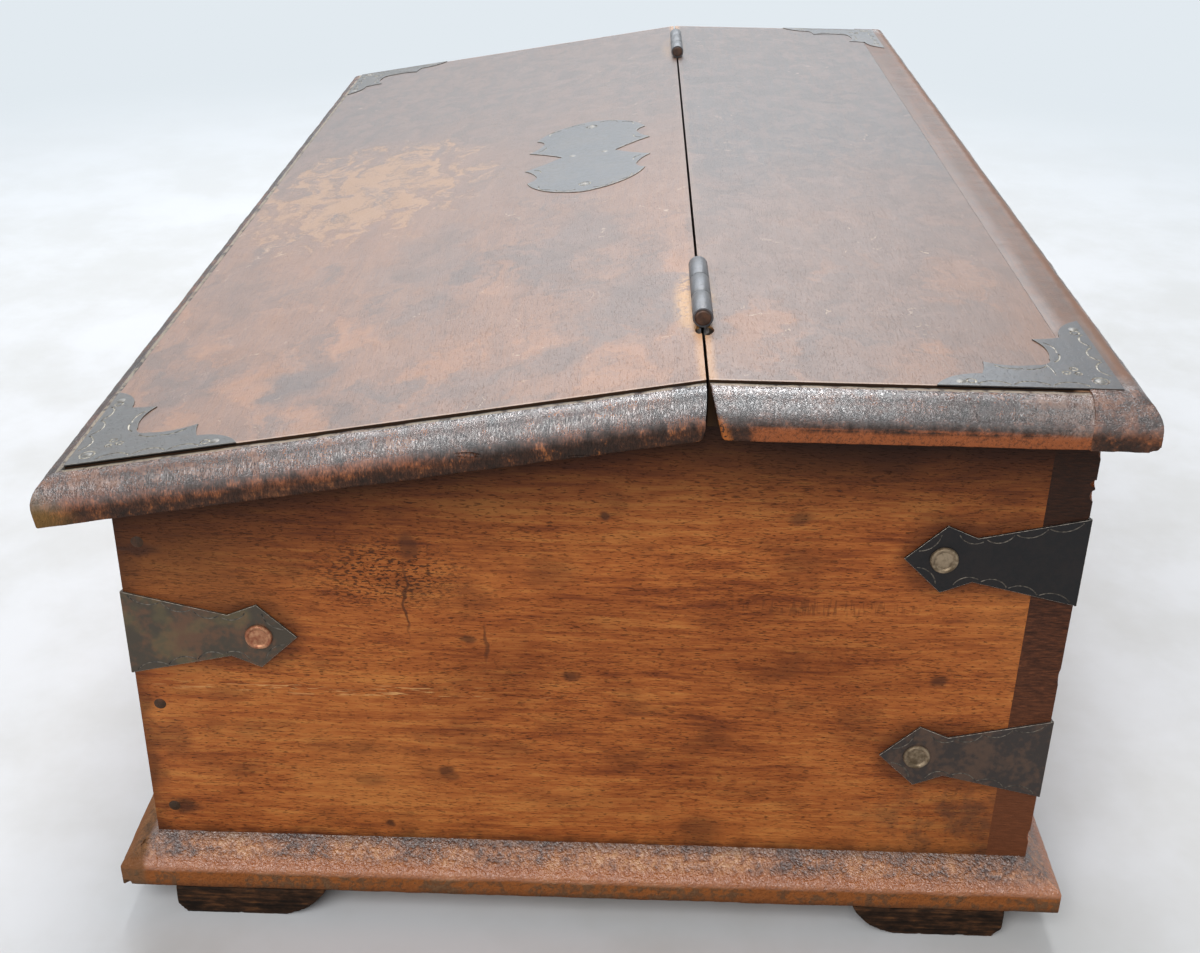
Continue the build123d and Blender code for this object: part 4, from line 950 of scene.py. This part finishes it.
def roundedBar(name, start, end, width=moulding["width"], drop=moulding["drop"], ease=moulding["ease"],
               endsToo=False):
    thick = box["thickness"]
    out = moulding["width"] - moulding["flat"]
    squash = out / (thick - moulding["face"] - drop)      # undone later, which makes the round taller
    high = -drop * squash
    piece = block(name, (0, start, -thick * squash), (width, end, high))
    pickEdges(piece, lambda a, b: alongBoth(a, b, z=high, x=width) or endsToo and (
        alongBoth(a, b, z=high, y=start) or alongBoth(a, b, z=high, y=end)))
    bpy.ops.mesh.bevel(offset=out * mm, segments=moulding["roundSteps"], affect="EDGES")
    bpy.ops.mesh.select_all(action="SELECT")
    bpy.ops.transform.resize(value=(1, 1, 1 / squash), center_override=(0, 0, 0))
    done()
    roundEdges(piece, lambda a, b: alongBoth(a, b, z=-thick, x=width), moulding["arris"], 2)
    roundEdges(piece, lambda a, b: alongBoth(a, b, z=-drop, x=0), ease, 2)
    cutAcross(piece, moulding["levels"], 2)
    cutAcross(piece, [width * share for share in moulding["shares"]], 0)
    return piece


def wearDown(piece, axis, depth=1.0):      # divides a bar along an axis, then dents it
    divide(piece, axis, moulding["step"])
    outwards(piece)
    dent(piece, dentClouds, moulding["dents"] * depth)
    dent(piece, rippleClouds, moulding["ripples"] * depth)
    smooth(piece, 50)


def mitred(bar, *ends):      # cuts a bar at 45 degrees at the ends given, in mm
    for spot in ends:
        trim(bar, (0, spot, 0), (-1, 1 if spot > 0 else -1, 0))


def lidEndBar(hand):      # mitred at the front, cut upright at the joint
    node = "lid_moulding_" + hand
    bar = roundedBar(node + "_worn", -box["lidPanel"] - moulding["spare"], moulding["spare"])
    mitred(bar, -box["lidPanel"])
    settle(bar, handed(hand, lidTilt @ shifted(box["panelEnd"], 0)))
    outwards(bar)
    back = box["jointY"] - box["jointGap"] / 2
    trim(bar, (0, back, 0), (0, 1, 0))
    roundEdges(bar, lambda a, b: alongBoth(a, b, y=back) and max(a.z, b.z) < moulding["jointRoundTop"],
               moulding["jointRound"], 4)
    wearDown(bar, 1)
    chip(bar, node, seed=3)
    dress(bar, [finishes["lidEndMoulding"]], "lid", node)


def topEndBar(hand):      # undercut and worn at the joint, square at the back
    node = "fixed_top_moulding_" + hand
    front = box["jointY"] + box["jointGap"] / 2
    slant = radians(moulding["undercut"])
    bar = roundedBar(node + "_worn", front, box["panelBack"])

    def onStart(spot):
        return near((spot.y - front) * cos(slant) + spot.z * sin(slant), 0)

    trim(bar, (0, front, 0), (0, -cos(slant), -sin(slant)))
    roundEdges(bar, lambda a, b: onStart(a) and onStart(b) and (a.x + b.x) / 2 > moulding["sharpUpTo"],
               moulding["wornEnd"], 3)
    settle(bar, handed(hand, topLevel @ shifted(box["panelEnd"], 0)))
    wearDown(bar, 1, moulding["topWear"])
    chip(bar, node, seed=9)
    dress(bar, [finishes["topEndMoulding"]], "box", node)


for hand in hands:
    lidEndBar(hand)
    topEndBar(hand)

bar = roundedBar("lid_moulding_front_worn", -box["endEdge"] - 1, box["endEdge"] + 1)
mitred(bar, box["panelEnd"], -box["panelEnd"])
settle(bar, lidTilt @ shifted(0, -box["lidPanel"], turn=-90))
wearDown(bar, 0)
dress(bar, [finishes["lidFrontMoulding"]], "lid", "lid_moulding_front")

bar = roundedBar("fixed_top_moulding_back_worn", -box["endEdge"], box["endEdge"], moulding["backWidth"],
                 drop=0, ease=0.2, endsToo=True)
settle(bar, topLevel @ shifted(0, box["panelBack"], turn=90))
wearDown(bar, 0)
chip(bar, "fixed_top_moulding_back", seed=15)
dress(bar, [finishes["topBackMoulding"]], "box", "fixed_top_moulding_back")
print("mouldings ready")

# Plinth strips, mitred at the corners, built along Y with the carcass at x = 0
plinth = {
    "out": 12.0, "low": 13.0, "shoulder": 22.6, "high": 30.0, "arris": 0.9, "arrisLow": 0.7, "spare": 13.0,
    "levels": (15.5, 18, 20.5), "steps": (2, 4, 6, 8, 10), "dents": 0.5,
}


def slopedBar(name, start, end):
    piece = block(name, (0, start, plinth["low"]), (plinth["out"], end, plinth["high"]))
    pickEdges(piece, lambda a, b: alongBoth(a, b, z=plinth["high"], x=plinth["out"]))
    bpy.ops.transform.translate(value=(0, 0, (plinth["shoulder"] - plinth["high"]) * mm))
    done()
    for level, width, steps in (("shoulder", plinth["arris"], 3), ("low", plinth["arrisLow"], 2)):
        roundEdges(piece, lambda a, b: alongBoth(a, b, z=plinth[level], x=plinth["out"]), width, steps)
    cutAcross(piece, plinth["levels"], 2)
    cutAcross(piece, plinth["steps"], 0)
    return piece


acrossEnds = (box["frontFace"], box["backFace"])
alongFaces = (box["endFace"], -box["endFace"])
strips = {      # where the ends are mitred, the place, and the axis that the strip runs along
    "right": (acrossEnds, shifted(box["endFace"], 0), 1),
    "left": (acrossEnds, mirrored @ shifted(box["endFace"], 0), 1),
    "front": (alongFaces, shifted(0, box["frontFace"], turn=-90), 0),
    "back": (alongFaces, shifted(0, box["backFace"], turn=90), 0),
}
for side, (ends, place, axis) in strips.items():
    node = "plinth_" + side
    bar = slopedBar(node + "_worn", min(ends) - plinth["spare"], max(ends) + plinth["spare"])
    mitred(bar, *ends)
    settle(bar, place)
    wearDown(bar, axis, plinth["dents"] / moulding["dents"])
    chip(bar, node, seed=21)
    dress(bar, [finishes["plinth"]], "box", node)

foot = {"ease": 1.0, "voxel": 1.1, "dents": 0.5}      # voxel: how finely a foot is meshed again
for corner in ("front_right", "front_left", "back_right", "back_left"):
    node = "foot_" + corner
    piece = cadCopy(node)
    easeEdges(piece, foot["ease"], 3, 30)
    outwards(piece)
    apply(piece, "REMESH", mode="VOXEL", voxel_size=foot["voxel"] * mm)
    dent(piece, rippleClouds, foot["dents"])
    pickFaces(piece, lambda middle, normal: normal.z < -0.8 and middle.z < 0.5)      # stands flat
    bpy.ops.transform.resize(value=(1, 1, 0), center_override=(0, 0, 0))
    done()
    smooth(piece, 50)
    dress(piece, [finishes["foot"]], "box", node)
print("plinth and feet ready")

# Sheet ironwork: merged copies of the nodes, with filed edges and engraved lines
iron = {
    "sheet": 0.9, "filed": 0.4, "plateLine": 0.7, "strapLine": 0.5, "crackLine": 0.4, "deep": 0.9,
    "sunk": 0.5, "bowStep": 1.1, "neckAt": 36.0, "root": 17.0, "neck": 8.5, "headAt": 46.5,
}


def asPlane(origin, across, outward):      # a matrix from a place in mm, its x and its z direction
    across, outward = Vector(across), Vector(outward)
    turned = Matrix((across, outward.cross(across), outward)).transposed().to_4x4()
    return Matrix.Translation(Vector(origin) * mm) @ turned


def bow(start, end, rise, wide):      # a tube along the arc from start to end, bulging to the left by rise
    first, last = Vector(start), Vector(end)
    half = (last - first).length / 2
    reach = (half * half + rise * rise) / (2 * abs(rise))
    left = Vector((first.y - last.y, last.x - first.x)).normalized() * (1 if rise > 0 else -1)
    middle = (first + last) / 2 - left * (reach - abs(rise))
    ray = (last if rise > 0 else first) - middle
    sweep = 2 * asin(min(1, half / reach))
    bpy.ops.object.select_all(action="DESELECT")
    bpy.ops.mesh.primitive_circle_add(vertices=6, radius=wide / 2 * mm, fill_type="NGON",
                                      location=(reach * mm, 0, 0), rotation=(pi / 2, 0, 0))
    piece = bpy.context.active_object
    settle(piece)
    editing(piece, "VERT")
    bpy.ops.mesh.select_all(action="SELECT")
    steps = max(4, round(sweep * reach / iron["bowStep"]))
    bpy.ops.mesh.spin(steps=steps, angle=-sweep, center=(0, 0, 0), axis=(0, 0, 1))
    done()
    outwards(piece)
    turn = Matrix.Rotation(ray.angle_signed(Vector((1, 0))), 4, "Z")
    settle(piece, Matrix.Translation((*middle * mm, 0)) @ turn @ Matrix.Diagonal((1, 1, iron["deep"], 1)))
    return piece


def ring(x, y, reach, wide):      # a tube round a place
    bpy.ops.object.select_all(action="DESELECT")
    bpy.ops.mesh.primitive_torus_add(location=(x * mm, y * mm, 0), major_segments=20, minor_segments=6,
                                     major_radius=reach * mm, minor_radius=wide / 2 * mm)
    piece = bpy.context.active_object
    settle(piece)
    return piece


def engrave(piece, planes, bows, rings, wide, line):      # cuts the same lines into each plane
    tools = []
    for plane in planes:
        made = [bow(start, end, rise, wide) for start, end, rise in bows]
        made += [ring(x, y, reach, wide) for x, y, reach in rings]
        for tool in made:
            settle(tool, plane)
            outwards(tool)
        tools += made
    cutter = joined(tools, piece.name + "_lines")
    cutter.data.materials.clear()
    cutter.data.materials.append(line)
    apply(piece, "BOOLEAN", object=cutter, operation="DIFFERENCE", solver="EXACT", material_mode="TRANSFER")
    bpy.data.objects.remove(cutter)


def sheetPiece(node, finish, planes, bows, rings, line="plateLine"):      # filed, then engraved
    piece = cadCopy(node)
    coats = [finishes[finish], finishes["filedEdgeAndHighlight"], finishes[line]]
    piece.data.materials.clear()
    for coat in coats:
        piece.data.materials.append(coat)
    easeEdges(piece, iron["filed"], 2, 40, material=1)
    engrave(piece, planes, bows, rings, iron[line], finishes[line])
    return piece, coats


def bothWays(bows):      # the arcs, and again with x and y exchanged
    return bows + [(start[::-1], end[::-1], -rise) for start, end, rise in bows]


cornerBows = bothWays([
    ((10.4, 1.4), (22.0, 1.4), 3.0), ((23.0, 1.4), (34.6, 1.4), 3.0), ((35.6, 1.4), (46.2, 1.4), 2.5),
    ((29.0, 14.6), (37.8, 17.0), -1.3), ((20.8, 17.2), (27.9, 14.2), -0.9),
    ((38.4, 22.2), (43.2, 13.2), 1.9),
])
cornerRings = [(6, 6, 2.6), (47.9, 3.7, 1.5), (3.7, 47.9, 1.5), (12.3, 15.4, 1.2), (15.4, 12.3, 1.2),
               (11.6, 11.6, 1.0)]
crack = [((19.0, 20.6), (9.8, 19.4), 0.4)]
topSunk = shifted(0, 0, -iron["sunk"])      # the sheets sit nearly flush
lidSunk = lidTilt @ topSunk @ lidTilt.inverted()
plates = {      # the corner's place, the body, how it sinks, and the finish
    "lid": (lidTilt @ shifted(box["panelEnd"], -box["lidPanel"], iron["sheet"], turn=90), "lid", lidSunk,
            "cornerIron"),
    "top": (topLevel @ shifted(box["panelEnd"], box["plateBack"], iron["sheet"], turn=180), "box", topSunk,
            "plateIron"),
}
for label, (plane, body, sunk, finish) in plates.items():
    for hand in hands:
        node = label + "_corner_plate_" + hand
        place = handed(hand, plane)
        piece, coats = sheetPiece(node, finish, [place], cornerBows, cornerRings)
        if node == "top_corner_plate_right":
            engrave(piece, [place], crack, [], iron["crackLine"], finishes["plateLine"])
        settle(piece, sunk)
        dress(piece, coats, body, node)

quarterBows = [((60.5, 4), (56.3, 14), -2.2), ((54.6, 16.2), (46.6, 22.2), -2.2),
               ((23.4, 22.8), (17.0, 26.4), 1.4)]
centreBows = [((ax * flip, ay * turn), (bx * flip, by * turn), rise * flip * turn)
              for flip in (1, -1) for turn in (1, -1) for (ax, ay), (bx, by), rise in quarterBows]
centrePlane = lidTilt @ shifted(0, -48.5, iron["sheet"])
piece, coats = sheetPiece("lid_centre_plate", "plateIron", [centrePlane], centreBows,
                          [(53.3, 0, 2.7), (-53.3, 0, 2.7)])
settle(piece, lidSunk)
dress(piece, coats, "lid", "lid_centre_plate")


def sinkBrads(body, sunk, onPlate):      # the plates' brads go down with them
    piece = cadCopy(body + "_brads")
    pickFaces(piece, onPlate)
    bpy.ops.transform.translate(value=sunk.to_translation())
    done()
    smooth(piece, 40)
    dress(piece, [finishes["bradIron"]], body, body + "_brads")


sinkBrads("lid", lidSunk, lambda middle, normal: middle.y < 20)
sinkBrads("box", topSunk, lambda middle, normal: middle.y > 100)


def strapBows():
    slope = (iron["root"] - iron["neck"]) / iron["neckAt"]
    edge = [(x, iron["root"] - slope * x - 1.0) for x in (1.6, 12.6, 13.2, 23.4, 24.0, 33.0)]
    upper = [(edge[i], edge[i + 1], -2.1) for i in (0, 2, 4)]
    upper += [((34.0, 7.4), (42.4, 9.8), -1.9), ((48.4, 9.6), (55.4, 3.2), -1.8)]
    return upper + [((ax, -ay), (bx, -by), -rise) for (ax, ay), (bx, by), rise in upper]


def strapPlanes(corner, along=0):      # the outer faces of a strap's two arms, from so far along them
    faceY, inward, height = strapCorners[corner]
    onEnd = (box["endFace"] + iron["sheet"], faceY + inward * along, height)
    onSide = (box["endFace"] - along, faceY - inward * iron["sheet"], height)
    return [asPlane(onEnd, (0, inward, 0), (1, 0, 0)), asPlane(onSide, (-1, 0, 0), (0, -inward, 0))]


for corner in strapCorners:
    for hand in hands:
        node = "strap_" + corner + "_" + hand
        planes = [handed(hand, plane) for plane in strapPlanes(corner)]
        piece, coats = sheetPiece(node, "strapIron", planes, strapBows(), [], "strapLine")
        dress(piece, coats, "box", node)
print("plates and straps ready")

# Rivets: round heads with a raised rim and a worn hollow
rivet = {"reach": 4.9, "skirt": 0.55, "rim": 1.15, "rimStart": 0.35, "rimWide": 0.75, "hollow": 0.5,
         "hollowWide": 1.3, "boss": 0.3, "ease": 0.14, "dents": 0.25}


def roundHead():
    bpy.ops.object.select_all(action="DESELECT")
    bpy.ops.mesh.primitive_cylinder_add(vertices=32, radius=rivet["reach"] * mm, depth=rivet["skirt"] * mm,
                                        location=(0, 0, rivet["skirt"] / 2 * mm))
    piece = bpy.context.active_object
    settle(piece)
    pickFaces(piece, lambda middle, normal: normal.z > 0.9)
    for width, lift in ((rivet["rimStart"], rivet["rim"] - rivet["skirt"]), (rivet["rimWide"], 0.0),
                        (rivet["hollowWide"] / 2, -rivet["hollow"]), (rivet["hollowWide"], rivet["boss"])):
        bpy.ops.mesh.inset(thickness=width * mm, depth=0)
        bpy.ops.transform.translate(value=(0, 0, lift * mm))
    done()
    easeEdges(piece, rivet["ease"], 3, 18)
    outwards(piece)
    smooth(piece, 50)
    return piece


heads = []
first = roundHead()
for corner in strapCorners:
    for plane in strapPlanes(corner, iron["headAt"]):
        for hand in hands:
            head = copyOf(first, "rivet_" + str(len(heads) + 1))
            settle(head, handed(hand, plane) @ Matrix.Rotation(len(heads) * 1.1, 4, "Z"))
            outwards(head)
            heads.append(head)
bpy.data.objects.remove(first)
rivets = joined(heads, "strap_rivets_worn")
dent(rivets, rippleClouds, rivet["dents"])
dress(rivets, [finishes["brass"]], "box", "strap_rivets")

# Hinges, lock and small nails
fittings = {      # finish, width of the eased edges, and the angle up to which they are smooth
    "hinge_iron": ("hingeIron", 0.2, 35),
    "lock_iron": ("lockIron", 0.3, 30),
}


def fitting(node, body, slot):
    finish, ease, sharp = fittings[slot]
    piece = cadCopy(node)
    easeEdges(piece, ease, 2, 40)
    smooth(piece, sharp)
    dress(piece, [finishes[finish]], body, node)


for hand in hands:
    fitting("hinge_leaf_lid_" + hand, "lid", "hinge_iron")
    fitting("hinge_leaf_top_" + hand, "box", "hinge_iron")
fitting("escutcheon", "box", "lock_iron")
fitting("lock_case", "box", "lock_iron")
recoat("lockIron", "lock_bolt", "lid_strike")
recoat("nailIron", "carcass_nails")
recoat("pinIron", "hinge_pins")
print("ironwork ready")

# Floor, light and camera
stage = {
    "floor": "cccdcd", "floorLight": "d7d9dc", "size": 14.0, "fade": (0.45, 1.25),
    "sky": 0.28, "backdrop": "ecf3fa", "backdropFar": "e2eaf0",
    "seenBy": ("Is Camera Ray", "Is Glossy Ray", "Is Transmission Ray"),
    "cool": (0.88, 0.94, 1.0),
    "lamps": [      # name, place, aim, width and depth, power
        ("overhead", (-1.1, 0.0, 2.4), (0.1, 0, 0.1), (1.1, 1.0), 40),
        ("behind", (-2.7, -0.5, 1.9), (0, 0, 0.2), (3.2, 1.5), 50),
        ("front", (2.1, -0.6, 1.8), (0, 0, 0.1), (1.8, 1.8), 48),
    ],
}


def floorFinish():
    fin = Finish("pale floor")
    cloudy = fin.noise(fin.at, scale=9, detail=5, rough=0.6)
    colour = fin.mix(fin.ease(cloudy, 0.35, 0.65), tone(stage["floor"]), tone(stage["floorLight"]))
    fin.wear(colour, 0.6, Specular_IOR_Level=0.3)
    away = fin.node("ShaderNodeVectorMath", {"operation": "LENGTH"}, {0: fin.at * (1, 1, 0)}, give="Value")
    far = fin.ease(away, *stage["fade"])
    backdrop = fin.mix(far, tone(stage["backdrop"]), tone(stage["backdropFar"]))
    glow = fin.node("ShaderNodeEmission", None, {"Color": backdrop})
    fin.show(fin.mixShader(fin.rays(*stage["seenBy"]) * far, Wire(fin, fin.shader.outputs[0]), glow))
    return fin.material


bpy.ops.object.select_all(action="DESELECT")
bpy.ops.mesh.primitive_grid_add(x_subdivisions=8, y_subdivisions=8, size=stage["size"])
floor = bpy.context.active_object
floor.name = "floor"
floor.data.materials.append(floorFinish())

world = bpy.data.worlds.new("soft studio")
bpy.context.scene.world = world
world.use_nodes = True
sky = Sheet(world.node_tree)
light = sky.tree.nodes["Background"]
sky.feed(light, {"Color": (1, 1, 1, 1), "Strength": stage["sky"]})
backdrop = sky.node("ShaderNodeBackground", None, {"Color": tone(stage["backdropFar"])})
sky.show(sky.mixShader(sky.rays(*stage["seenBy"]), Wire(sky, light.outputs[0]), backdrop), "World Output")

for name, at, aim, size, power in stage["lamps"]:
    lamp = bpy.data.lights.new(name, "AREA")
    lamp.shape = "RECTANGLE"
    lamp.size, lamp.size_y = size
    lamp.energy = power
    lamp.color = stage["cool"] if name == "behind" else (1, 1, 1)
    holder = bpy.data.objects.new(name, lamp)
    holder.location = at
    holder.rotation_euler = (Vector(aim) - Vector(at)).to_track_quat("-Z", "Y").to_euler()
    bpy.context.scene.collection.objects.link(holder)

view = {      # places and the lens in mm, angles in degrees
    "at": (737.41, 12.85, 414.84), "turn": -1.0, "down": 27.26, "roll": 1.08, "lens": 44.897, "sensor": 36,
}
turn, down, roll = radians(view["turn"]), radians(view["down"]), radians(view["roll"])
forward = Vector((-cos(turn) * cos(down), sin(turn) * cos(down), -sin(down)))
level = Vector((sin(turn), cos(turn), 0))
upright = level.cross(forward)
across = cos(roll) * level + sin(roll) * upright
up = -sin(roll) * level + cos(roll) * upright
camera = bpy.data.objects.new("camera", bpy.data.cameras.new("camera"))
bpy.context.scene.collection.objects.link(camera)
camera.data.sensor_width = view["sensor"]
camera.data.lens = view["lens"]
camera.data.clip_start = 0.01
camera.matrix_world = Matrix.Translation(Vector(view["at"]) * mm) @ Matrix(
    (across, up, -forward)).transposed().to_4x4()
bpy.context.scene.camera = camera
bpy.context.scene.view_settings.view_transform = "Standard"
print("stage ready")
